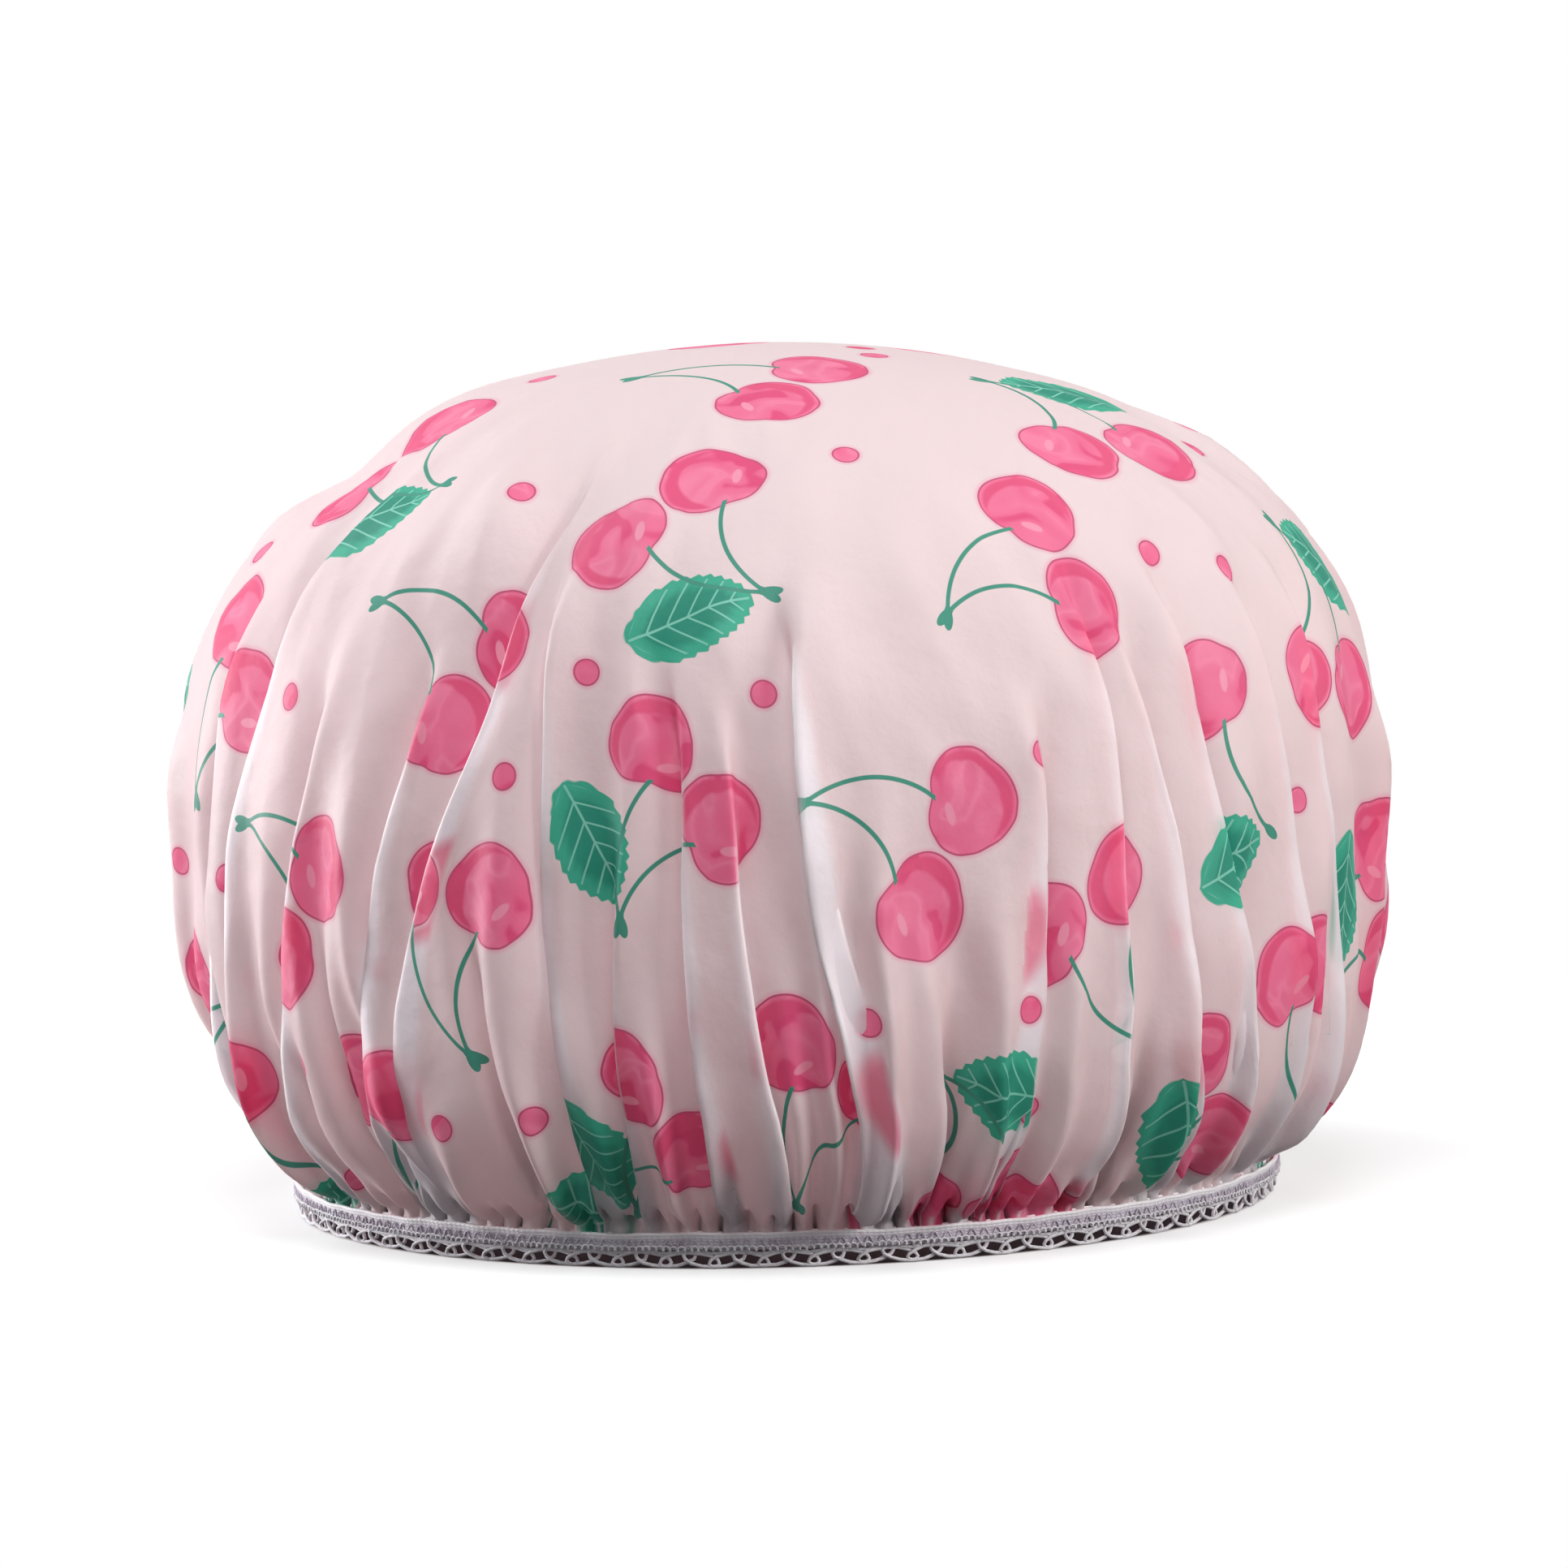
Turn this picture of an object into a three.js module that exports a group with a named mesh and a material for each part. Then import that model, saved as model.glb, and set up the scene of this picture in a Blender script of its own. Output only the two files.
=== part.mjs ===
// Shower cap: a thin film crown, gathered into an elastic lace trim.
// Millimetres, +Z up. The origin is on the surface that the lace stands on, under the middle of the cap.
// The front of the cap faces -Y, and the trim's two ends meet at the back, at +Y.
import * as THREE from "three";
import { mergeVertices } from "three/addons/utils/BufferGeometryUtils.js";

// Crown of film, measured over the ridges of its pleats
const crownRadius = 113;
const crownRise = 88;
const crownFullness = 0.6;
const skirtDrop = 66;
const skirtFullness = 0.38;
const skirtLean = THREE.MathUtils.degToRad(23);
const neckRise = 1.5;
const filmWall = 0.15;

// Pleats of the film. One starts part of the way from the top of the crown to the trim, and deepens as it
// runs down, and at the tape it opens into a shallow gather. The film on its ridge's side lies over the film
// at its foot, which is on the left for side 1 and on the right for side -1. Angles are in degrees from the
// front, and grow towards +X.
const pleatDepth = 3;
const pleatStep = 2;
const gatherStep = 10;
const pleatGrowth = 0.24;
const pleatGatherStart = 0.86;
const frontPleats = [
  { from: -72, to: -78, start: 0.44, side: 1 },
  { from: -61, to: -69, start: 0.37, side: 1 },
  { from: -51, to: -59, start: 0.48, side: 1 },
  { from: -40, to: -51, start: 0.48, side: 1 },
  { from: -28, to: -43, start: 0.27, side: 1 },
  { from: -25, to: -26, start: 0.36, side: 1 },
  { from: -14, to: -13, start: 0.7, side: 1 },
  { from: -6, to: -5, start: 0.55, side: -1 },
  { from: -2, to: 3, start: 0.44, side: 1 },
  { from: 13, to: 13, start: 0.7, side: -1 },
  { from: 27, to: 24, start: 0.54, side: -1 },
  { from: 34, to: 35, start: 0.39, side: -1 },
  { from: 39, to: 46, start: 0.44, side: -1 },
  { from: 46, to: 54, start: 0.41, side: -1 },
  { from: 58, to: 63, start: 0.43, side: -1 },
  { from: 68, to: 72, start: 0.44, side: -1 },
];
const sidePleatCount = 14;
const sidePleatStart = 0.46;
const sidePleatStartSpread = 0.11;
const sidePleatWaver = 2.5;
const crownRings = 5;
const skirtRings = 4;

// Trim: a folded tape that holds the film's edge and two strands of elastic, with lace below it
const hemRadius = 91;
const tapeWall = 0.4;
const strandDiameter = 0.6;
const strandCount = 2;
const filmInsertion = 0.7;
const rimFoldDepth = 0.25;
const laceHeight = 3.2;
const laceWall = 0.6;
const laceMotifs = 64;
const threadDiameter = 0.35;
const stitchMargin = 0.5;
const joinGap = 0.4;
const tackWidth = 5;
const tackHumps = 6;
const tackDepth = 0.5;
const clearance = 0.3;

// Numbers of flats on the round pieces
const tapeSteps = 64;
const strandSteps = 48;
const strandSides = 6;
const threadSides = 4;

// Sizes that follow from the ones above
const slotWidth = Math.max(strandDiameter, filmWall + rimFoldDepth) + 2 * clearance;
const strandPitch = strandDiameter + clearance;
const tapeHeight = tapeWall + clearance + strandCount * strandPitch + filmInsertion;
const tapeFloor = laceHeight + clearance;
const tapeTop = tapeFloor + tapeHeight;
const tapeOuterRadius = hemRadius + slotWidth / 2 + tapeWall;
const filmEdge = tapeTop - filmInsertion;
const rimRadius = hemRadius + slotWidth / 2 - clearance;
const widestLevel = tapeTop + skirtDrop;
const trimLength = 2 * Math.PI * hemRadius - joinGap;

const finishes = {
  film: { color: 0xe6d6da, roughness: 0.4, metalness: 0 },
  tape: { color: 0xd9d3da, roughness: 0.85, metalness: 0 },
  lace: { color: 0xdedae0, roughness: 0.9, metalness: 0 },
  rubber: { color: 0xe9e4d8, roughness: 0.7, metalness: 0 },
  thread: { color: 0xefecef, roughness: 0.6, metalness: 0 },
};

const cap = new THREE.Group();

function addPiece(name, geometry, finish) {
  const mesh = new THREE.Mesh(geometry, new THREE.MeshStandardMaterial(finish));
  mesh.name = name;
  cap.add(mesh);
}

// A closed BufferGeometry from corner points and triangles
function solidFrom(corners, triangles) {
  const geometry = new THREE.BufferGeometry();
  geometry.setAttribute("position", new THREE.Float32BufferAttribute(corners.flatMap((c) => c.toArray()), 3));
  geometry.setIndex(triangles.flat());
  return mergeVertices(geometry, 1e-3);
}

// The crown's outline over the ridges: rings of points from the top down to the film's edge.
// Each has the direction into the cap and its share of the way over the film.
function crownOutline() {
  const top = new THREE.Vector2(0, widestLevel + crownRise);
  const widest = new THREE.Vector2(crownRadius, widestLevel);
  const throat = new THREE.Vector2(rimRadius, tapeTop + neckRise);
  const dome = new THREE.CubicBezierCurve(
    top,
    new THREE.Vector2(crownFullness * crownRadius, top.y),
    new THREE.Vector2(crownRadius, widestLevel + crownFullness * crownRise),
    widest,
  );
  const reach = skirtFullness * skirtDrop;
  const skirt = new THREE.CubicBezierCurve(
    widest,
    new THREE.Vector2(crownRadius, widestLevel - reach),
    new THREE.Vector2(throat.x + reach * Math.cos(skirtLean), throat.y + reach * Math.sin(skirtLean)),
    throat,
  );
  const edge = new THREE.LineCurve(throat, new THREE.Vector2(rimRadius, filmEdge));
  const run = dome.getLength() + skirt.getLength() + edge.getLength();
  const rings = [];
  let before = 0;
  for (const [curve, count] of [[dome, crownRings], [skirt, skirtRings], [edge, 1]]) {
    for (let i = rings.length > 0 ? 1 : 0; i <= count; i++) {
      const tangent = curve.getTangentAt(i / count);
      rings.push({
        point: curve.getPointAt(i / count),
        inward: new THREE.Vector2(tangent.y, -tangent.x),
        share: (before + (i / count) * curve.getLength()) / run,
      });
    }
    before += curve.getLength();
  }
  return rings;
}

// Every pleat: those of the front, and those of the sides and back, which are spread evenly with a little waver
function allPleats() {
  const first = frontPleats[0];
  const last = frontPleats.at(-1);
  const goldenAngle = Math.PI * (3 - Math.sqrt(5));
  const pleats = [...frontPleats];
  for (let i = 0; i < sidePleatCount; i++) {
    const share = (i + 1) / (sidePleatCount + 1);
    const waver = sidePleatWaver * Math.sin(i * goldenAngle);
    pleats.push({
      from: THREE.MathUtils.lerp(last.from, first.from + 360, share) + waver,
      to: THREE.MathUtils.lerp(last.to, first.to + 360, share) + waver,
      start: sidePleatStart + sidePleatStartSpread * Math.cos(i * goldenAngle),
      side: share < 0.5 ? -1 : 1,
    });
  }
  return pleats;
}

// Angle and depth of every pleat's ridge and foot, in turn, at a share of the way over the film
function pleatStations(pleats, share) {
  const gather = THREE.MathUtils.smoothstep(share, pleatGatherStart, 1);
  const halfStep = THREE.MathUtils.lerp(pleatStep / crownRadius, gatherStep / hemRadius, gather) / 2;
  const fullDepth = THREE.MathUtils.lerp(pleatDepth, rimFoldDepth, gather);
  return pleats.flatMap(({ from, to, start, side }) => {
    const drift = THREE.MathUtils.smoothstep(share, start, 1);
    const middle = THREE.MathUtils.degToRad(THREE.MathUtils.lerp(from, to, drift));
    const depth = fullDepth * THREE.MathUtils.smoothstep(share, start, start + pleatGrowth);
    const ridge = { angle: middle + side * halfStep, depth: 0 };
    const foot = { angle: middle - side * halfStep, depth };
    return side > 0 ? [foot, ridge] : [ridge, foot];
  });
}

// The film: an outer and an inner skin, one film wall apart, closed at the film's edge
function filmCrown() {
  const rings = crownOutline();
  const pleats = allPleats();
  const corners = [];
  const triangles = [];
  const skin = (wall) => {
    const first = corners.length;
    for (const { point, inward, share } of rings) {
      for (const { angle, depth } of pleatStations(pleats, share)) {
        const radius = point.x + inward.x * (depth + wall);
        const height = point.y + inward.y * (depth + wall);
        corners.push(new THREE.Vector3(radius * Math.sin(angle), -radius * Math.cos(angle), height));
      }
    }
    return first;
  };
  const outer = skin(0);
  const inner = skin(filmWall);
  const around = 2 * pleats.length;
  const at = (first, ring, station) => first + ring * around + (station % around);
  const quad = (a, b, c, d) => triangles.push([a, b, c], [a, c, d]);
  for (let ring = 0; ring < rings.length - 1; ring++) {
    for (let i = 0; i < around; i++) {
      quad(at(outer, ring, i), at(outer, ring + 1, i), at(outer, ring + 1, i + 1), at(outer, ring, i + 1));
      quad(at(inner, ring, i), at(inner, ring, i + 1), at(inner, ring + 1, i + 1), at(inner, ring + 1, i));
    }
  }
  const last = rings.length - 1;
  for (let i = 0; i < around; i++) {
    quad(at(outer, last, i), at(inner, last, i), at(inner, last, i + 1), at(outer, last, i + 1));
  }
  return solidFrom(corners, triangles);
}

// A point of the trim, from the distance along it, the distance out from the hem circle, and the height
function trimPoint(along, out, up) {
  const angle = Math.PI / 2 - (along + joinGap / 2) / hemRadius;
  const radius = hemRadius + out;
  return new THREE.Vector3(radius * Math.cos(angle), radius * Math.sin(angle), up);
}

// A strip of constant section, drawn as (out, up), cut straight and then closed into a ring.
// The strip may swing up and down in a zigzag, once for each pair of steps.
function trimStrip(section, steps, { from = 0, to = trimLength, swing = 0 } = {}) {
  const strip = new THREE.ExtrudeGeometry(section, { depth: to - from, steps, bevelEnabled: false });
  const position = strip.getAttribute("position");
  const step = (to - from) / steps;
  for (let i = 0; i < position.count; i++) {
    const along = position.getZ(i);
    const side = Math.round(along / step) % 2 === 0 ? -1 : 1;
    const place = trimPoint(from + along, position.getX(i), position.getY(i) + side * swing);
    position.setXYZ(i, place.x, place.y, place.z);
  }
  return strip;
}

function roundSection(out, up, diameter, sides) {
  const points = [];
  for (let i = 0; i < sides; i++) {
    const angle = ((i + 0.5) / sides) * 2 * Math.PI;
    points.push(new THREE.Vector2(out + (diameter / 2) * Math.cos(angle), up + (diameter / 2) * Math.sin(angle)));
  }
  return new THREE.Shape(points);
}

// The tape is folded upwards round the film's edge, so its section is a U that is open at the top
function hemTape() {
  const outside = slotWidth / 2 + tapeWall;
  const section = new THREE.Shape();
  section.moveTo(-outside, tapeFloor);
  section.lineTo(outside, tapeFloor);
  section.lineTo(outside, tapeTop);
  section.lineTo(slotWidth / 2, tapeTop);
  section.lineTo(slotWidth / 2, tapeFloor + tapeWall);
  section.lineTo(-slotWidth / 2, tapeFloor + tapeWall);
  section.lineTo(-slotWidth / 2, tapeTop);
  section.lineTo(-outside, tapeTop);
  section.closePath();
  return trimStrip(section, tapeSteps);
}

function elasticStrand(number) {
  const level = tapeFloor + tapeWall + clearance + strandDiameter / 2 + number * strandPitch;
  return trimStrip(roundSection(0, level, strandDiameter, strandSides), strandSteps);
}

// One repeat of the lace, drawn flat: a scallop with a foot to stand on, and its open eyes
function laceMotif(width) {
  const point = (across, up) => new THREE.Vector2(across * width, up * laceHeight);
  const outline = [
    point(0, 0.4),
    point(0.15, 0.16),
    point(0.26, 0.2),
    point(0.36, 0),
    point(0.64, 0),
    point(0.74, 0.2),
    point(0.85, 0.16),
    point(1, 0.4),
    point(1, 1),
    point(0, 1),
  ];
  const eye = (across, up, halfWide, halfTall) => [
    point(across - halfWide, up),
    point(across, up + halfTall),
    point(across + halfWide, up),
    point(across, up - halfTall),
  ];
  const eyes = [eye(0.5, 0.76, 0.15, 0.1), eye(0.29, 0.44, 0.09, 0.13), eye(0.71, 0.44, 0.09, 0.13)];
  return { outline, eyes };
}

// The lace: one motif repeated along the trim, with its open eyes cut right through
function laceEdging() {
  const width = trimLength / laceMotifs;
  const { outline, eyes } = laceMotif(width);
  const flat = [...outline, ...eyes.flat()];
  const faces = THREE.ShapeUtils.triangulateShape(outline, eyes);
  const loops = [outline, ...eyes];
  const outerFace = slotWidth / 2 + tapeWall;
  const corners = [];
  const triangles = [];
  for (let motif = 0; motif < laceMotifs; motif++) {
    const front = corners.length;
    const back = front + flat.length;
    for (const out of [outerFace, outerFace - laceWall]) {
      corners.push(...flat.map((p) => trimPoint(motif * width + p.x, out, p.y)));
    }
    for (const [a, b, c] of faces) {
      triangles.push([front + a, front + c, front + b], [back + a, back + b, back + c]);
    }
    let first = 0;
    for (const loop of loops) {
      loop.forEach((p, i) => {
        const next = (i + 1) % loop.length;
        const joined = p.x === loop[next].x && isSharedEdge(p.x, motif, width);
        if (!joined) {
          const [a, b] = [first + i, first + next];
          triangles.push([front + a, front + b, back + a], [back + a, front + b, back + b]);
        }
      });
      first += loop.length;
    }
  }
  return solidFrom(corners, triangles);
}

// Whether the side of a motif at this distance across it is joined to the next motif
function isSharedEdge(across, motif, width) {
  return (across === 0 && motif > 0) || (across === width && motif < laceMotifs - 1);
}

// Zigzag thread on the outside: it crosses from the tape to the lace and holds the two together
function outerSeamThread() {
  const out = slotWidth / 2 + tapeWall + clearance + threadDiameter / 2;
  const low = laceHeight - stitchMargin;
  const high = tapeTop - stitchMargin;
  const end = tackWidth / 2 + clearance;
  const section = roundSection(out, (low + high) / 2, threadDiameter, threadSides);
  return trimStrip(section, 2 * laceMotifs, { from: end, to: trimLength - end, swing: (high - low) / 2 });
}

// Straight thread on the inside, which locks the zigzag's loops
function innerSeamThread() {
  const out = -(slotWidth / 2 + tapeWall + clearance + threadDiameter / 2);
  return trimStrip(roundSection(out, (tapeFloor + tapeTop) / 2, threadDiameter, threadSides), tapeSteps);
}

// Tack of close stitches over the join of the trim, drawn as (across, out) and as tall as the tape
function joinTack() {
  const hump = tackWidth / tackHumps;
  const section = new THREE.Shape();
  section.moveTo(tackWidth / 2, 0);
  section.lineTo(tackWidth / 2, tackDepth / 2);
  for (let i = 0; i < tackHumps; i++) {
    const right = tackWidth / 2 - i * hump;
    section.quadraticCurveTo(right - hump / 2, 1.5 * tackDepth, right - hump, tackDepth / 2);
  }
  section.lineTo(-tackWidth / 2, 0);
  section.closePath();
  const tack = new THREE.ExtrudeGeometry(section, {
    depth: tapeTop - laceHeight,
    steps: 1,
    curveSegments: 4,
    bevelEnabled: false,
  });
  return tack.translate(0, tapeOuterRadius + clearance, laceHeight);
}

addPiece("film_crown", filmCrown(), finishes.film);
addPiece("hem_tape", hemTape(), finishes.tape);
for (let i = 0; i < strandCount; i++) {
  addPiece(`elastic_strand_${i + 1}`, elasticStrand(i), finishes.rubber);
}
addPiece("lace_edging", laceEdging(), finishes.lace);
addPiece("seam_thread_outer", outerSeamThread(), finishes.thread);
addPiece("seam_thread_inner", innerSeamThread(), finishes.thread);
addPiece("join_tack", joinTack(), finishes.thread);

export default cap;
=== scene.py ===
import math

import bpy
import numpy as np
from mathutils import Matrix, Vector


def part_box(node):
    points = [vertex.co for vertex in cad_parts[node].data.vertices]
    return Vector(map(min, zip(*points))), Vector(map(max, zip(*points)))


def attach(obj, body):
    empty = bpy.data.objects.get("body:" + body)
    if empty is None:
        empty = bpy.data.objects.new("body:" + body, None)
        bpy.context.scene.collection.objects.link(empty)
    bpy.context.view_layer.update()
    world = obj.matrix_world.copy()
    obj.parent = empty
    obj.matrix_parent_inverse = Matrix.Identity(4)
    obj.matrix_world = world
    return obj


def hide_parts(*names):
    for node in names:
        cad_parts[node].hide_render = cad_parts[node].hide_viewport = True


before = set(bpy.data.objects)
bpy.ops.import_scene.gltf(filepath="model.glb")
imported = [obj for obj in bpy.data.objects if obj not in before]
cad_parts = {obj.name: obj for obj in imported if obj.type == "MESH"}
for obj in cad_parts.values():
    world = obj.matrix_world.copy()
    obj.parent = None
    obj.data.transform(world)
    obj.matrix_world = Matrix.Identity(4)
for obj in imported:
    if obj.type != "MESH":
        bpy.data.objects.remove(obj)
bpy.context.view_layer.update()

# A shower cap: one disc of frosted film, gathered by elastic into a woven tape with a lace edging.
# Sizes are in millimetres, +Z is up, and the front of the cap faces -Y.
# Angles round the cap are measured from the front, and grow towards the viewer's right.

MM = 0.001
BODY = "root"

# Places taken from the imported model
film_low, film_high = (np.array(corner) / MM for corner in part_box("film_crown"))
tape_low, tape_high = (np.array(corner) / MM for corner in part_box("hem_tape"))
CROWN_RADIUS = -film_low[1]
CROWN_TOP = film_high[2]
FILM_EDGE = film_low[2]
TAPE_FLOOR, TAPE_TOP = tape_low[2], tape_high[2]
TAPE_RADIUS = tape_high[0]

# Hem: the tape's wall and the slot in its fold, how far the film lies inside the tape's face, and the gap
# between the tape's ends
TAPE_WALL = 0.4
TAPE_SLOT = 1.2
HEM_RADIUS = TAPE_RADIUS - TAPE_WALL - TAPE_SLOT / 2
FILM_INSET = 0.7
RIM_RADIUS = TAPE_RADIUS - FILM_INSET
JOIN_GAP = 0.4

# Outline of the film, from the middle of the crown to the hem
SKIRT_DROP = 66.0
CROWN_FULLNESS = 0.6
SKIRT_FULLNESS = 0.38
SKIRT_LEAN = math.radians(23)
NECK_RISE = 1.5
DOME_STEPS, SKIRT_STEPS = 600, 400


# Meshes and nodes

def linear(hex_colour):
    """The linear colour of an sRGB hex value."""
    parts = [int(hex_colour[i:i + 2], 16) / 255 for i in (1, 3, 5)]
    return tuple(c / 12.92 if c <= 0.04045 else ((c + 0.055) / 1.055) ** 2.4 for c in parts) + (1.0,)


def add(tree, kind, inputs=None, **settings):
    """Adds one node with its settings, and sets or links its inputs.

    A node that is given as an input stands for its first output in use.
    """
    node = tree.nodes.new(kind)
    for name, value in settings.items():
        setattr(node, name, value)
    for socket, value in (inputs or {}).items():
        if isinstance(value, bpy.types.Node):
            value = next(output for output in value.outputs if output.enabled)
        if isinstance(value, bpy.types.NodeSocket):
            tree.links.new(value, node.inputs[socket])
        else:
            node.inputs[socket].default_value = value
    return node


def new_material(name):
    """An empty material and its node tree."""
    material = bpy.data.materials.new(name)
    material.use_nodes = True
    material.node_tree.nodes.clear()
    return material, material.node_tree


def mesh_object(name, points, faces, material, flat=None, marks=None):
    """A smooth mesh object at the origin, from points in millimetres.

    flat gives each point's place on the flat cut, and marks gives its named values.
    """
    mesh = bpy.data.meshes.new(name)
    mesh.from_pydata((np.asarray(points) * MM).tolist(), [], faces)
    mesh.polygons.foreach_set("use_smooth", [True] * len(mesh.polygons))
    if flat is not None:
        corners = np.empty(len(mesh.loops), dtype=np.int32)
        mesh.loops.foreach_get("vertex_index", corners)
        layer = mesh.uv_layers.new(name="cut")
        layer.uv.foreach_set("vector", np.asarray(flat, dtype=np.float32)[corners].ravel())
    for mark, values in (marks or {}).items():
        mesh.attributes.new(mark, "FLOAT", "POINT").data.foreach_set("value", values)
    mesh.materials.append(material)
    piece = bpy.data.objects.new(name, mesh)
    bpy.context.collection.objects.link(piece)
    return piece


# The film's shape

# Rings within a distance of the middle use only each eighth, fourth or second column
FILM_COLUMNS = 2880
FILM_ROWS = 72
ROW_CROWDING = 1.3
RING_STEPS = [(60.0, 8), (120.0, 4), (208.0, 2)]
FILM_SEED = 7

# Values of each point that the film's finish reads
MARKS = ("crease", "layers", "painted_shade", "flap", "beneath_x", "beneath_y")

# A pleat turns the film back by FOLD_TURN. Its edges are soft where it starts, and crisp where it is full.
FOLD_TURN = 3.05
SOFT_EDGE, CRISP_EDGE = 4.5, 0.75
SOFT_EXCESS = 1.5
FOLD_SINK, FOLD_SINK_SPAN = 3.6, (0.38, 0.64)
FLAP_LOFT = 1.7
PLEAT_GROWTH = 0.24
PLEAT_REACH = math.radians(14)
GATHER_RATE = 1.3

# Film sinks beside a pleat that folds towards the front of the cap, and swells beside one that folds away or
# that lies in the middle of the front or the back
VALLEY_DEPTH, VALLEY_REACH = 3.2, 8.0
VALLEY_TURN, VALLEY_LEAN = (0.0, 0.3), (-0.5, 1.0)

# Table of folds: first, last and number of the flap widths, and of the places across a pleat
FINE_FLAPS, WIDE_FLAPS = (0, 6, 121), (6.2, 80, 370)
FOLD_ACROSS = (-60, 60, 6001)

# The film is levelled over PANEL_BLUR of the pleats' spacing, and then over LEVEL_BLUR times as far. The two
# last values are the least to divide by.
PANEL_BLUR, LEVEL_BLUR = 0.35, 3
LEAST_PANEL, LEAST_STEP = 0.05, 0.1

# Pleats that the front shows: angle where one starts and angle at the hem (degrees), share of the way from
# the middle of the crown to the hem where it starts, the side that its flap folds to, and its weight
FRONT_PLEATS = [
    (-72, -78, 0.44, 1, 1.0),
    (-61, -69, 0.37, 1, 1.2),
    (-51, -59, 0.48, 1, 0.9),
    (-39, -47, 0.46, 1, 1.5),
    (-25, -40, 0.26, 1, 2.2),
    (-22, -22, 0.36, 1, 1.3),
    (-15, -16, 0.58, 1, 0.8),
    (-9, -8, 0.47, 1, 1.1),
    (-4, -2, 0.50, -1, 1.0),
    (3, 9, 0.44, 1, 2.4),
    (16, 16, 0.70, -1, 0.6),
    (26, 24, 0.54, -1, 1.9),
    (34, 35, 0.39, -1, 0.9),
    (39, 46, 0.44, -1, 1.1),
    (46, 54, 0.41, -1, 1.0),
    (58, 63, 0.43, -1, 1.0),
    (68, 72, 0.44, -1, 1.0),
]

# Pleats of the sides and the back, at an even spacing, with a short one after each
SIDE_PLEATS = 14
SIDE_PLEAT_START, SIDE_START_SPREAD = 0.46, 0.11
SIDE_PLEAT_WAVER = 2.5
SIDE_PLEAT_WEIGHT = (0.9, 1.3)
SHORT_PLEAT_START = (0.62, 0.78)
SHORT_PLEAT_WEIGHT = 0.6
GOLDEN_ANGLE = math.pi * (3 - math.sqrt(5))

# Soft ridges between the pleats, wider where they are faint
RIDGES = 84
RIDGE_SCATTER = 0.35
RIDGE_START = (0.42, 0.85)
RIDGE_SIDES = [1, 1, -1]
RIDGE_WEIGHT = (0.3, 1.2)
RIDGE_SPAN = (0.45, 0.92)
RIDGE_SHARE = 0.3
RIDGE_REACH = math.radians(4)
RIDGE_WIDTH, FAINT_EXTRA_WIDTH, FAINT_EXCESS = 1.8, 3.2, 0.8
RIDGE_TAKE = 1.2
STEEPEST_RIDGE = 1.3

# Crisp facets of stiff film, in trains that run askew and fade in and out. They begin at FACETS_FROM off the
# middle and end at FACETS_TO off the hem. Their height is that of a train of FACET_HEIGHT_CRESTS crests.
FACET_TRAINS = 12
FACET_CRESTS, FACET_PATCHES = (14, 40), (2, 6)
FACET_SLANT, FACET_PHASE = 0.06, 6.3
FACET_WEIGHT = (0.4, 1.0)
FACET_HEIGHT, FACET_HEIGHT_CRESTS = 3.4, 10
MEAN_CREST = 1 - 2 / math.pi
FACET_EDGE, PATCH_EDGE = 0.08, (0.0, 0.9)
FACETS_FROM, FACETS_TO = (35.0, 100.0), (50.0, 15.0)

# Broad dents and swells: angle (degrees), distance from the middle, reach along and round the cap, and height
DENTS = [
    (0, 0.0, 55.0, 400.0, -0.8),
    (-90, 58.0, 16.0, 45.0, 1.2),
    (-90, 84.0, 11.0, 45.0, -3.2),
    (-90, 127.0, 24.0, 30.0, 2.4),
    (-90, 217.0, 22.0, 40.0, -6.5),
    (-36, 122.0, 14.0, 15.0, -4.0),
    (-36, 88.0, 14.0, 22.0, 1.2),
    (-15, 150.0, 32.0, 18.0, -2.5),
    (88, 122.0, 42.0, 42.0, 4.0),
    (20, 60.0, 40.0, 40.0, -1.2),
    (-150, 90.0, 38.0, 38.0, -3.0),
    (140, 80.0, 36.0, 36.0, -2.5),
]

# Gathers at the tape: a pucker for each stitch, with a small gap beside it. Each RISE gives the distances
# from the hem where a thing starts and where it is full. Stitches drift by waves: height, crests and shift.
# A BEAT gives crests round the cap, how far they sway, and the crests of that sway.
PUCKERS = 130
STITCH_DRIFT = [(0.9, 5, 1), (0.7, 11, 2), (1.2, 31, 0)]
PUCKER_HEIGHT, PUCKER_RISE = 1.1, (13.0, 4.0)
PUCKER_VARIES, PUCKER_BEAT = 0.25, (17, 3, 7)
GAP_DEPTH, GAP_SHARPNESS, GAP_RISE = 3.6, 4, (6.0, 3.0)
HELD_SHARE, HELD_RISE = 0.85, (1.6, 0.7)
# The tops of the puckers get a painted highlight through the crease mark
TUFT_SHARPNESS, TUFT_RISE = 6, (4.0, 1.0)
# Painted shade in the gaps between the puckers, laid in uneven patches
HOLLOW_SHARPNESS, HOLLOW_RISE = 3, (2.0, 1.0)
HOLLOW_PATCHES, HOLLOW_BEAT = (-0.6, 0.8), (23, 2, 9)
FLATTENED_SHARE, FLATTENED_RISE = 0.85, (14.0, 2.0)

# Painted shade among the gathers, and in valleys that are deep enough
GATHER_SHADE, SHADE_RISE = 0.15, (32.0, 1.0)
VALLEY_SHADE, VALLEY_SHADE_RISE = 0.4, (50.0, 5.0)
SHADED_VALLEY = (0.4, 2.4)

# Bend that whitens the film, partly as stress whitening and partly as a painted highlight, width of flap that
# shows what it covers, how soft its start and end are, and the columns that share a count of layers
CREASE_BEND = (0.6, 1.7)
SHOWING_FLAP = (2.0, 5.0)
FLAP_START_BLUR, FLAP_END_BLUR = 0.5, 1.0
COLUMNS_PER_BIN = 4


def smooth_step(x, low, high):
    """0 under low, 1 over high, and a smooth rise between."""
    share = np.clip((x - low) / (high - low), 0, 1)
    return share * share * (3 - 2 * share)


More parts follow.
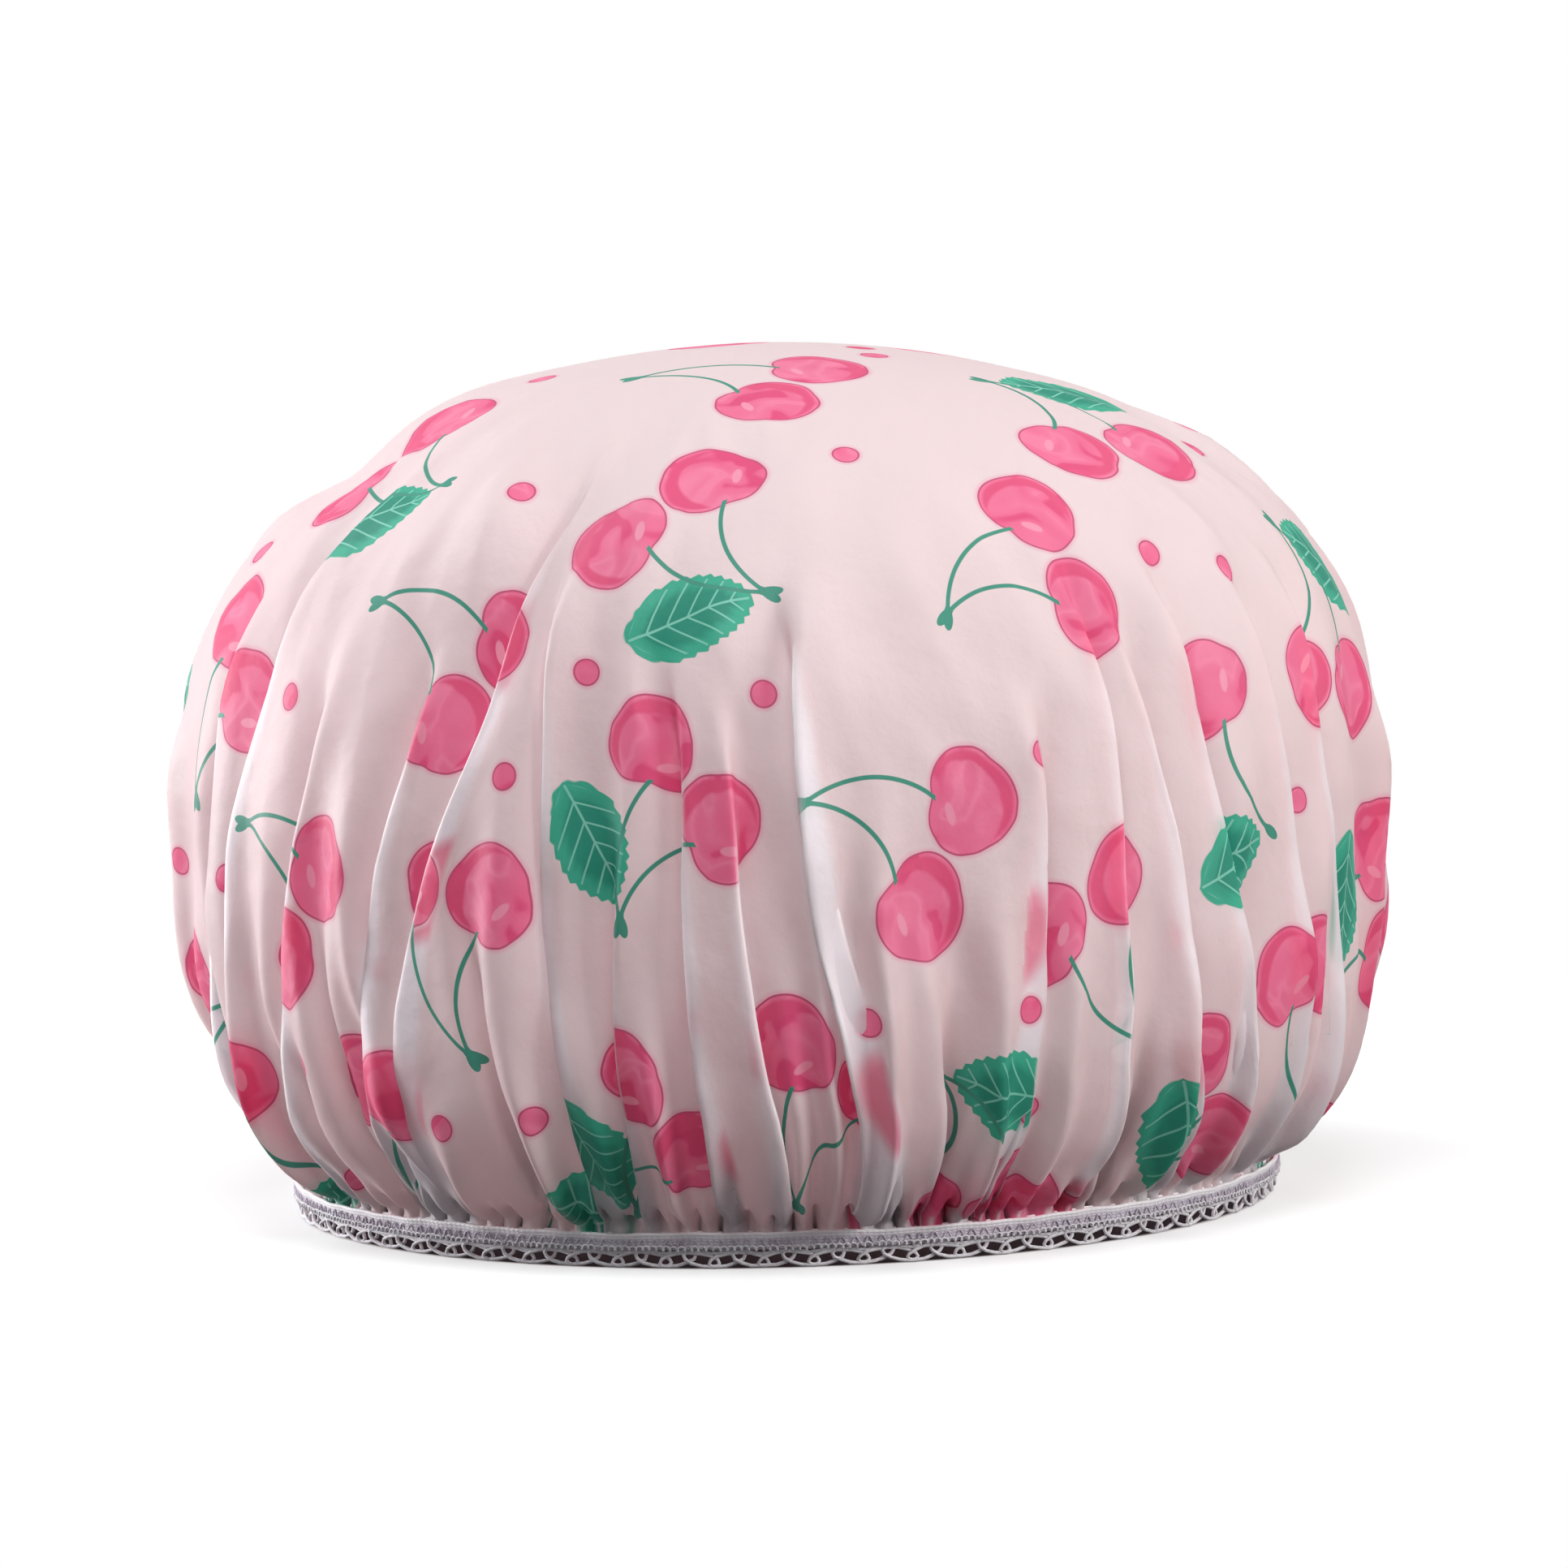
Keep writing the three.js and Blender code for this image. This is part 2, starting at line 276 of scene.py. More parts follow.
def near_hem(s, run, rise):
    """0 far from the hem and 1 close to it. rise gives the distances where it starts and where it is full."""
    return smooth_step(s, run - rise[0], run - rise[1])


def wrapped(angle):
    """The same angle between minus half a turn and half a turn."""
    return (angle + np.pi) % (2 * np.pi) - np.pi


def waves(angles, parts, start=0):
    """A sum of waves round the cap on top of start. Each part has a height, a count of crests and a shift."""
    return sum((height * np.sin(crests * angles + shift) for height, crests, shift in parts), start)


def beat(angles, crests, sway, sway_crests):
    """A wave round the cap whose crests crowd together and spread apart."""
    return np.sin(crests * angles + sway * np.sin(sway_crests * angles))


def blur_round(values, width):
    """A ring of values, each spread over its neighbours. width is in columns."""
    turns = np.fft.rfftfreq(values.size)
    return np.fft.irfft(np.fft.rfft(values) * np.exp(-2 * (np.pi * turns * width) ** 2), values.size)


def bezier(points, count):
    """Places along a curve with four control points."""
    t = np.linspace(0, 1, count)[:, None]
    a, b, c, d = (np.array(p, float) for p in points)
    return a * (1 - t) ** 3 + 3 * b * t * (1 - t) ** 2 + 3 * c * t**2 * (1 - t) + d * t**3


def film_outline():
    """Radius and height along the film, and the distance of each point from the middle of the crown."""
    widest = TAPE_TOP + SKIRT_DROP
    neck = TAPE_TOP + NECK_RISE
    rise = CROWN_TOP - widest
    reach = SKIRT_FULLNESS * SKIRT_DROP
    dome = bezier([(0, CROWN_TOP), (CROWN_FULLNESS * CROWN_RADIUS, CROWN_TOP),
                   (CROWN_RADIUS, widest + CROWN_FULLNESS * rise), (CROWN_RADIUS, widest)], DOME_STEPS)
    skirt = bezier([(CROWN_RADIUS, widest), (CROWN_RADIUS, widest - reach),
                    (RIM_RADIUS + reach * math.cos(SKIRT_LEAN), neck + reach * math.sin(SKIRT_LEAN)),
                    (RIM_RADIUS, neck)], SKIRT_STEPS)
    outline = np.vstack([dome, skirt[1:], [(RIM_RADIUS, FILM_EDGE)]])
    steps = np.linalg.norm(np.diff(outline, axis=0), axis=1)
    return outline, np.concatenate([[0], np.cumsum(steps)])


# Width of the flat disc that the film is cut from
CUT_WIDTH = 2 * film_outline()[1][-1]


def film_rows():
    """Rows of the film: distance from the middle, radius, height, and the way out from the film's face."""
    outline, along = film_outline()
    rows = along[-1] * (1 - (1 - np.linspace(0, 1, FILM_ROWS + 1)) ** ROW_CROWDING)
    radius, height = (np.interp(rows, along, column) for column in outline.T)
    slope = [np.interp(rows + 1, along, column) - np.interp(rows - 1, along, column) for column in outline.T]
    out = np.array([-slope[1], slope[0]])
    return rows, radius, height, out / np.linalg.norm(out, axis=0)


def pleat_list(rng):
    """Every pleat, as arrays: start angle, hem angle, start share, side and weight."""
    pleats = list(FRONT_PLEATS)
    first, last = FRONT_PLEATS[0], FRONT_PLEATS[-1]
    half_step = (360 + first[0] - last[0]) / (SIDE_PLEATS + 1) / 2
    for i in range(SIDE_PLEATS):
        share = (i + 1) / (SIDE_PLEATS + 1)
        waver = SIDE_PLEAT_WAVER * math.sin(i * GOLDEN_ANGLE)
        angles = [a + (b + 360 - a) * share + waver for a, b in zip(last[:2], first[:2])]
        between = [angle + half_step for angle in angles]
        side = -1 if share < 0.5 else 1
        start = SIDE_PLEAT_START + SIDE_START_SPREAD * math.cos(i * GOLDEN_ANGLE)
        pleats.append((*angles, start, side, rng.uniform(*SIDE_PLEAT_WEIGHT)))
        pleats.append((*between, rng.uniform(*SHORT_PLEAT_START), side, SHORT_PLEAT_WEIGHT))
    start, end, *others = np.array(pleats).T
    return np.radians(start), np.radians(end), *others


def ridge_list(rng):
    """Soft ridges between the pleats, as arrays: angle, start share, side and weight."""
    ridges = []
    for k in range(RIDGES):
        angle = (k + rng.uniform(-RIDGE_SCATTER, RIDGE_SCATTER)) * 2 * np.pi / RIDGES
        ridges.append((angle, rng.uniform(*RIDGE_START), rng.choice(RIDGE_SIDES), rng.uniform(*RIDGE_WEIGHT)))
    return np.array(ridges).T


def gathered_share(angles, widths, places, weights, reach):
    """How much of the ring, in radians, each fold has to gather."""
    near = weights[:, None] * np.exp(-((wrapped(angles[None, :] - places[:, None]) / reach) ** 2))
    total = near.sum(axis=0)
    taken = (1 - np.exp(-GATHER_RATE * total)) / np.maximum(total, 1e-9)
    return (near * taken * widths).sum(axis=1)


def pleat_turn(distance, flap, edge):
    """How far the film is turned back, in radians, at a distance from the middle of a pleat."""
    return FOLD_TURN / 2 * (np.tanh((distance + flap / 2) / edge) - np.tanh((distance - flap / 2) / edge))


def fold_table():
    """Film taken up by a pleat with edges of 1 mm, for a run of flap widths."""
    flaps = np.concatenate([np.linspace(*FINE_FLAPS), np.linspace(*WIDE_FLAPS)])
    across = np.linspace(*FOLD_ACROSS)
    step = across[1] - across[0]
    taken = [np.sum(1 - np.cos(pleat_turn(across, flap, 1.0))) * step for flap in flaps]
    return np.array(taken), flaps


def facet_trains(rng):
    """Trains of facets: crests round the cap, slant, phase, patches round the cap and height."""
    return [(rng.integers(*FACET_CRESTS), rng.uniform(-FACET_SLANT, FACET_SLANT), rng.uniform(0, FACET_PHASE),
             rng.integers(*FACET_PATCHES), rng.uniform(*FACET_WEIGHT)) for _ in range(FACET_TRAINS)]


def facets(s, angles, trains):
    """How far the facets stand out at a distance from the middle of the crown."""
    total = np.zeros_like(angles)
    for crests, slant, phase, patches, height in trains:
        crest = 1 - np.sqrt(np.sin(crests * angles / 2 + slant * s + phase) ** 2 + FACET_EDGE**2)
        shown = smooth_step(np.cos(patches * angles - slant * s + 2 * phase), *PATCH_EDGE)
        total += height * (FACET_HEIGHT_CRESTS / crests) * shown * (crest - MEAN_CREST)
    return FACET_HEIGHT * total * smooth_step(s, *FACETS_FROM)


def dents(s, angles):
    """How far the broad dents and swells stand out at a distance from the middle of the crown."""
    total = np.zeros_like(angles)
    for angle, distance, along, around, height in DENTS:
        apart = wrapped(angles - math.radians(angle)) * s
        total += height * np.exp(-(((s - distance) / along) ** 2) - (apart / around) ** 2)
    return total


def puckers(s, theta, run):
    """How far the gathers stand out, a painted highlight on their tops, and painted shade in their gaps and
    near the hem.
    """
    phase = waves(theta, STITCH_DRIFT, PUCKERS * theta)
    top = np.maximum(np.cos(phase), 0)
    gap = np.maximum(-np.cos(phase), 0)
    swell = near_hem(s, run, PUCKER_RISE) * (1 - PUCKER_VARIES + PUCKER_VARIES * beat(theta, *PUCKER_BEAT))
    gaps = gap**GAP_SHARPNESS * near_hem(s, run, GAP_RISE)
    held = 1 - HELD_SHARE * near_hem(s, run, HELD_RISE)
    top_highlight = top**TUFT_SHARPNESS * near_hem(s, run, TUFT_RISE)
    uneven = smooth_step(beat(theta, *HOLLOW_BEAT), *HOLLOW_PATCHES)
    painted_shade = uneven * gap**HOLLOW_SHARPNESS * near_hem(s, run, HOLLOW_RISE)
    painted_shade = np.maximum(painted_shade, GATHER_SHADE * near_hem(s, run, SHADE_RISE))
    return held * (PUCKER_HEIGHT * swell * np.cos(phase) - GAP_DEPTH * gaps), top_highlight, painted_shade


def layer_count(theta):
    """How many layers of film lie over each other at each column of a ring."""
    bins = FILM_COLUMNS // COLUMNS_PER_BIN
    width = 2 * np.pi / bins
    place = (theta % (2 * np.pi) / width).astype(int) % bins
    film = np.bincount(place, weights=np.abs(wrapped(np.roll(theta, -1) - theta)), minlength=bins) / width
    return blur_round(film, 1.0)[place]


def flap_share(distance, flap):
    """1 where a pleat's film lies over its own fold, and 0 elsewhere. distance is from the pleat's middle."""
    start, end = flap / 2, 1.5 * flap
    begun = smooth_step(distance, start - FLAP_START_BLUR, start + FLAP_START_BLUR)
    ended = smooth_step(distance, end - FLAP_END_BLUR, end + FLAP_END_BLUR)
    return begun * (1 - ended) * smooth_step(flap, *SHOWING_FLAP)


def pleat_folds(s, angles, places, side, grown, excess, table):
    """The pleats of one ring: the film's turn, its valleys, where flaps lie, and the cut under each flap."""
    edges = CRISP_EDGE + (SOFT_EDGE - CRISP_EDGE) * np.exp(-excess / SOFT_EXCESS)
    turn, valley, covered = np.zeros((3, FILM_COLUMNS))
    beneath = np.zeros((2, FILM_COLUMNS))
    for k in np.flatnonzero(grown):
        flap = np.interp(excess[k] / edges[k], *table) * edges[k]
        apart = wrapped(angles - places[k]) * s
        turn += side[k] * pleat_turn(apart, flap, edges[k])
        over = flap_share(side[k] * apart, flap)
        under = places[k] + (side[k] * flap - apart) / s
        nearest = over > covered
        beneath[:, nearest] = s * np.array([np.sin(under), -np.cos(under)])[:, nearest]
        covered = np.maximum(over, covered)
        beside = np.maximum(np.abs(apart) - flap / 2, 0)
        lean = np.interp(-side[k] * math.sin(places[k]), VALLEY_TURN, VALLEY_LEAN)
        valley += lean * min(grown[k], 1) * np.exp(-beside / VALLEY_REACH)
    return turn, valley, covered, beneath


def with_ridges(turn, s, angles, places, side, grown, excess):
    """The turn of one ring with its soft ridges, which fade where a pleat turns the film back."""
    flatness = (1 + np.cos(turn)) / 2
    width = RIDGE_WIDTH + FAINT_EXTRA_WIDTH * np.exp(-excess / FAINT_EXCESS)
    steepness = np.minimum(np.sqrt(excess / (RIDGE_TAKE * width)), STEEPEST_RIDGE)
    for k in np.flatnonzero(grown):
        apart = wrapped(angles - places[k]) * s / width[k]
        turn = turn - side[k] * steepness[k] * apart * np.exp(0.5 - 0.5 * apart * apart) * flatness
    return turn


def fold_lift(turn, panel, valley, step, spacing):
    """How far the folds of one ring stand out, with the panels between them levelled."""
    climb = np.sin(turn)
    climb = climb - panel * blur_round(climb, spacing) / np.maximum(blur_round(panel, spacing), LEAST_PANEL)
    lift = FLAP_LOFT * np.cumsum(climb * step)
    lift -= blur_round(lift, LEVEL_BLUR * spacing)
    return lift - VALLEY_DEPTH * (np.minimum(valley, 1) - np.minimum(valley, 1).mean())


def film_points():
    """The gathered film: its points in space and on the flat cut, their marks, and the rows' distances."""
    rng = np.random.default_rng(FILM_SEED)
    rows, radius, height, out = film_rows()
    run = rows[-1]
    hem_angles = (np.arange(FILM_COLUMNS) + 0.5) / FILM_COLUMNS * 2 * np.pi - np.pi
    start, end, first, side, weight = pleat_list(rng)
    ridge_at, ridge_first, ridge_side, ridge_weight = ridge_list(rng)
    trains = facet_trains(rng)
    table = fold_table()
    spacing = PANEL_BLUR * FILM_COLUMNS / start.size
    points = np.zeros((rows.size, FILM_COLUMNS, 3))
    flat = np.zeros((rows.size, FILM_COLUMNS, 2))
    marks = {name: np.zeros((rows.size, FILM_COLUMNS)) for name in MARKS}
    for j, s in enumerate(rows):
        share = s / run
        places = start + (end - start) * smooth_step(share, first, 1)
        angles = hem_angles + np.interp(hem_angles, end, places - end, period=2 * np.pi)
        widths = wrapped(np.roll(angles, -1) - np.roll(angles, 1)) / 2
        step = s * widths
        spare = max(s - radius[j], 0)
        ridge_part = RIDGE_SHARE * smooth_step(share, *RIDGE_SPAN)

        grown = weight * smooth_step(share, first, first + PLEAT_GROWTH)
        excess = spare * (1 - ridge_part) * gathered_share(angles, widths, places, grown, PLEAT_REACH)
        turn, valley, covered, beneath = pleat_folds(s, angles, places, side, grown, excess, table)
        ridge_grown = ridge_weight * smooth_step(share, ridge_first, ridge_first + PLEAT_GROWTH)
        excess = spare * ridge_part * gathered_share(angles, widths, ridge_at, ridge_grown, RIDGE_REACH)
        turn = with_ridges(turn, s, angles, ridge_at, ridge_side, ridge_grown, excess)
        forward = np.cumsum(np.cos(turn) * widths)
        theta = forward / forward[-1] * 2 * np.pi
        theta += np.mean(angles - theta)

        panel = (1 + np.cos(turn)) / 2
        lift = fold_lift(turn, panel, valley, step, spacing)
        lift -= FOLD_SINK * smooth_step(share, *FOLD_SINK_SPAN)
        sunk = blur_round(lift, spacing) - lift
        lift *= 1 - FLATTENED_SHARE * near_hem(s, run, FLATTENED_RISE)
        lift += facets(s, angles, trains) * panel * (1 - near_hem(s, run, FACETS_TO)) + dents(s, angles)
        gathers, top_highlight, painted_shade = puckers(s, theta, run)
        lift += gathers
        away = radius[j] + out[0, j] * lift
        points[j] = np.transpose([away * np.sin(theta), -away * np.cos(theta), height[j] + out[1, j] * lift])
        flat[j] = s * np.transpose([np.sin(angles), -np.cos(angles)])

        bend = np.abs(np.gradient(turn)) / np.maximum(step, LEAST_STEP)
        # Painted shade in valleys that lie deep under their neighbours, near the hem
        shade = VALLEY_SHADE * smooth_step(sunk, *SHADED_VALLEY) * near_hem(s, run, VALLEY_SHADE_RISE)
        # The crease mark whitens the film: stress whitening on folds, and a painted highlight on fold edges
        # and pucker tops
        marks["crease"][j] = np.maximum(smooth_step(bend, *CREASE_BEND), top_highlight)
        marks["layers"][j] = layer_count(theta) if grown.max() > 0 else 1
        marks["painted_shade"][j] = np.maximum(painted_shade, shade)
        marks["flap"][j] = covered
        marks["beneath_x"][j], marks["beneath_y"][j] = beneath + CUT_WIDTH / 2
    return points, flat, marks, rows


def film_piece(material):
    """The gathered film: a fan at the middle, then rings that get finer towards the hem."""
    points, flat, marks, rows = film_points()
    steps = np.select([rows < until for until, _ in RING_STEPS], [step for _, step in RING_STEPS], 1)
    place, cut, faces = [points[0, 0]], [flat[0, 0]], []
    values = {name: [table[0, 0]] for name, table in marks.items()}
    before, before_step = None, None
    for j in range(1, rows.size):
        step = steps[j]
        ring = len(place) + np.arange(FILM_COLUMNS // step)
        place.extend(points[j, ::step])
        cut.extend(flat[j, ::step])
        for name, table in marks.items():
            values[name].extend(table[j, ::step])
        following = np.roll(ring, -1)
        if before is None:
            faces += [(0, a, b) for a, b in zip(ring, following)]
        elif before_step == step:
            faces += list(zip(before, ring, following, np.roll(before, -1)))
        else:
            for a, b, c, d, e in zip(before, np.roll(before, -1), ring[::2], ring[1::2], following[1::2]):
                faces += [(a, c, d), (a, d, b), (b, d, e)]
        before, before_step = ring, step
    return mesh_object("film_crown_gathered", place, [tuple(map(int, f)) for f in faces], material,
                       np.array(cut) / CUT_WIDTH + 0.5, values)


# The film's print and finish

# Print, in millimetres on the flat film. Each cell of the repeat holds one sprig, turned at random.
CELL = (62.0, 57.0)
PRINT_EDGE = 0.2
PAINT_PATCH = 10.0
FIELD_REACH = 1.4
OUT_OF_SIGHT = 99.0

# Cherries: lobes as places ahead of and beside the middle and as sizes, in shares of the radius
CHERRY_RADIUS = 9.8
CHERRY_PLACES = [(-10.7, -10.0), (11.3, -12.4)]
CHERRY_LOBES = [(-0.1, 0.0, 0.88), (0.12, 0.3, 0.74), (0.12, -0.3, 0.74)]
LOBE_BLEND = 1.0
SHADE_SHIFT, SHADE_RADIUS = (-2.2, 1.6), 8.4
SHADE_WOBBLE, SHADE_BLUR = 3.0, 0.8
GLINT_SHIFT, GLINT_SIZE, GLINT_TURN, GLINT_BLUR = (-3.8, 2.8), (2.2, 0.9), 0.7, 0.3
HALO_WIDTH = 1.2
OUTLINE_WIDTH = 0.28
CHERRY_TONES = [(0.34, "#ec5686"), (0.40, "#f6739c"), (0.54, "#f97fa5"), (0.60, "#fd8db0"), (0.72, "#f67aa1")]

# Stems: each starts inside its cherry, at a share of the radius, and ends in a club at the sprig's joint
SPRIG_JOINT = (0.5, 19.0)
STEM_FOOT = 0.72
STEM_BOW = 3.8
STEM_WIDTH = 0.85
CLUB_BLEND = 0.8
CLUB_SIZE, CLUB_AHEAD = (2.4, 1.0), 1.2

# Leaf: its shade and its veins start at a distance inside its edge
LEAF_LENGTH, LEAF_WIDTH = 28.0, 17.0
LEAF_PLACE = (14.4, 11.2)
LEAF_TURN = math.radians(-32)
LEAF_VEIN_STEP, LEAF_VEIN_WIDTH, LEAF_VEIN_SLANT, LEAF_VEIN_INSET = 4.4, 0.5, 0.9, 1.2
LEAF_TOOTH = 0.45
LEAF_SHADE = (1.2, 4.0)
LEAF_GREEN = "#3fb797"

DOT_RADIUS, DOT_ROUNDNESS = 2.7, 0.94
DOT_PLACES = [(26.0, 22.7), (-25.4, -23.3)]

# Shares of the cells that go without a second cherry, a leaf or a second dot
LONE_CHERRIES, LEAFLESS, FEW_DOTS = 0.3, 0.46, 0.55


def printed_cell(tree, flat):
    """Cells of the flat film: the place in each, the place in its turned sprig, and the cell's chances."""
    cells = add(tree, "ShaderNodeVectorMath", {0: flat, 1: (*CELL, 1)}, operation="DIVIDE")
    axes = add(tree, "ShaderNodeSeparateXYZ", {0: cells})
    row = add(tree, "ShaderNodeMath", {0: axes.outputs["Y"]}, operation="FLOOR")
    shift = add(tree, "ShaderNodeTexWhiteNoise", {"W": row}, noise_dimensions="1D")
    column = add(tree, "ShaderNodeMath", {0: axes.outputs["X"], 1: shift.outputs["Value"]}, operation="ADD")
    shifted = add(tree, "ShaderNodeCombineXYZ", {0: column, 1: axes.outputs["Y"]})
    number = add(tree, "ShaderNodeVectorMath", {0: shifted}, operation="FLOOR")
    within = add(tree, "ShaderNodeVectorMath", {0: shifted}, operation="FRACTION")
    centred = add(tree, "ShaderNodeVectorMath", {0: within, 1: (0.5, 0.5, 0)}, operation="SUBTRACT")
    place = add(tree, "ShaderNodeVectorMath", {0: centred, 1: (*CELL, 0)}, operation="MULTIPLY")
    chance = add(tree, "ShaderNodeTexWhiteNoise", {"Vector": number}, noise_dimensions="2D")
    chances = add(tree, "ShaderNodeSeparateColor", {0: chance.outputs["Color"]})
    turn = add(tree, "ShaderNodeMath", {0: chance.outputs["Value"], 1: 2 * math.pi}, operation="MULTIPLY")
    sprig = add(tree, "ShaderNodeVectorRotate", {"Vector": place, "Angle": turn}, rotation_type="Z_AXIS")
    return place, sprig, chances.outputs


def disc_field(tree, place, middle, size, turn=0.0):
    """A field in millimetres that is above 0 inside a disc or oval, and falls to under 0 outside it."""
    reach = FIELD_REACH * max(size)
    scale = (FIELD_REACH * size[0], FIELD_REACH * size[1], 1)
    moved = add(tree, "ShaderNodeMapping", {"Vector": place, "Location": (*middle, 0),
                                            "Rotation": (0, 0, turn), "Scale": scale}, vector_type="TEXTURE")
    ball = add(tree, "ShaderNodeTexGradient", {0: moved}, gradient_type="SPHERICAL")
    return add(tree, "ShaderNodeMath", {0: ball.outputs[1], 1: reach, 2: max(size) - reach},
               operation="MULTIPLY_ADD")


def cherry_fields(tree, sprig, middle, wobble):
    """A cherry with a dip where its stem goes in, the shade on one side of it, and a glint on the other."""
    aim = np.array(SPRIG_JOINT) - middle
    aim /= np.linalg.norm(aim)
    across = np.array([-aim[1], aim[0]])
    lobes = [disc_field(tree, sprig, middle + CHERRY_RADIUS * (ahead * aim + aside * across),
                        (size * CHERRY_RADIUS, size * CHERRY_RADIUS)) for ahead, aside, size in CHERRY_LOBES]
    body = lobes[0]
    for lobe in lobes[1:]:
        body = add(tree, "ShaderNodeMath", {0: body, 1: lobe, 2: LOBE_BLEND}, operation="SMOOTH_MAX")
    cherry = add(tree, "ShaderNodeMath", {0: body, 1: wobble}, operation="ADD")
    lit = disc_field(tree, sprig, np.add(middle, SHADE_SHIFT), (SHADE_RADIUS, SHADE_RADIUS))
    uneven = add(tree, "ShaderNodeMath", {0: wobble, 1: SHADE_WOBBLE, 2: lit}, operation="MULTIPLY_ADD")
    outside = add(tree, "ShaderNodeMath", {0: 0.0, 1: uneven}, operation="SUBTRACT")
    inside = add(tree, "ShaderNodeMath", {0: cherry, 1: 2 * OUTLINE_WIDTH}, operation="SUBTRACT")
    shade = add(tree, "ShaderNodeMath", {0: outside, 1: inside}, operation="MINIMUM")
    glint = disc_field(tree, sprig, np.add(middle, GLINT_SHIFT), GLINT_SIZE, GLINT_TURN)
    return cherry, shade, glint


def stem_field(tree, sprig, middle):
    """A bowed stem from a cherry to the joint of the sprig, with a thick end."""
    joint = np.array(SPRIG_JOINT)
    foot = middle + (joint - middle) / np.linalg.norm(joint - middle) * STEM_FOOT * CHERRY_RADIUS
    chord = joint - foot
    length = np.linalg.norm(chord)
    side = np.array([-chord[1], chord[0]]) / length
    bow = length * length / (8 * STEM_BOW) + STEM_BOW / 2
    ring = disc_field(tree, sprig, (foot + joint) / 2 + side * (bow - STEM_BOW), (bow, bow))
    off = add(tree, "ShaderNodeMath", {0: ring}, operation="ABSOLUTE")
    line = add(tree, "ShaderNodeMath", {0: STEM_WIDTH / 2, 1: off}, operation="SUBTRACT")
    ends = disc_field(tree, sprig, (foot + joint) / 2, (length / 2, length / 2))
    bowed = add(tree, "ShaderNodeMath", {0: line, 1: ends}, operation="MINIMUM")
    lean = math.asin(length / 2 / bow)
    onward = chord / length * math.cos(lean) + side * math.sin(lean)
    club = disc_field(tree, sprig, joint + CLUB_AHEAD * onward, CLUB_SIZE, math.atan2(onward[1], onward[0]))
    return add(tree, "ShaderNodeMath", {0: bowed, 1: club, 2: CLUB_BLEND}, operation="SMOOTH_MAX")


def leaf_fields(tree, sprig, wobble):
    """An almond leaf with a toothed edge, and the veins on it."""
    half, bulge = LEAF_LENGTH / 2, LEAF_WIDTH / 2
    radius = (half * half + bulge * bulge) / (2 * bulge)
    across = np.array([-math.sin(LEAF_TURN), math.cos(LEAF_TURN)])
    sides = [disc_field(tree, sprig, LEAF_PLACE + sign * (radius - bulge) * across, (radius, radius))
             for sign in (1, -1)]
    almond = add(tree, "ShaderNodeMath", {0: sides[0], 1: sides[1]}, operation="MINIMUM")
    moved = add(tree, "ShaderNodeMapping", {"Vector": sprig, "Location": (*LEAF_PLACE, 0),
                                            "Rotation": (0, 0, LEAF_TURN)}, vector_type="TEXTURE")
    axes = add(tree, "ShaderNodeSeparateXYZ", {0: moved})
    beside = add(tree, "ShaderNodeMath", {0: axes.outputs["Y"]}, operation="ABSOLUTE")
    slanted = add(tree, "ShaderNodeMath", {0: beside, 1: LEAF_VEIN_SLANT, 2: axes.outputs["X"]},
                  operation="MULTIPLY_ADD")
    teeth = add(tree, "ShaderNodeMath", {0: slanted, 1: LEAF_VEIN_STEP / 3}, operation="PINGPONG")
    toothed = add(tree, "ShaderNodeMath", {0: teeth, 1: -LEAF_TOOTH, 2: almond}, operation="MULTIPLY_ADD")
    leaf = add(tree, "ShaderNodeMath", {0: toothed, 1: wobble}, operation="ADD")
    branches = add(tree, "ShaderNodeMath", {0: slanted, 1: LEAF_VEIN_STEP / 2}, operation="PINGPONG")
    nearest = add(tree, "ShaderNodeMath", {0: branches, 1: beside}, operation="MINIMUM")
    inner = add(tree, "ShaderNodeMath", {0: almond, 1: LEAF_VEIN_INSET}, operation="SUBTRACT")
    vein = add(tree, "ShaderNodeMath", {0: LEAF_VEIN_WIDTH / 2, 1: nearest}, operation="SUBTRACT")
    veins = add(tree, "ShaderNodeMath", {0: vein, 1: inner}, operation="MINIMUM")
    return leaf, veins


def shown_if(tree, field, chance, least):
    """The field where a cell's chance is over least, and well under 0 elsewhere."""
    picked = add(tree, "ShaderNodeMath", {0: chance, 1: least}, operation="GREATER_THAN")
    kept = add(tree, "ShaderNodeMath", {0: picked, 1: -1.0}, operation="ADD")
    return add(tree, "ShaderNodeMath", {0: kept, 1: OUT_OF_SIGHT, 2: field}, operation="MULTIPLY_ADD")


def cherry_paint(tree, brush):
    """The tones of a cherry, laid in patches as by a brush."""
    paint = add(tree, "ShaderNodeValToRGB", {0: brush})
    while len(paint.color_ramp.elements) < len(CHERRY_TONES):
        paint.color_ramp.elements.new(0.5)
    for stop, (position, tone) in zip(paint.color_ramp.elements, CHERRY_TONES):
        stop.position = position
        stop.color = linear(tone)
    return paint


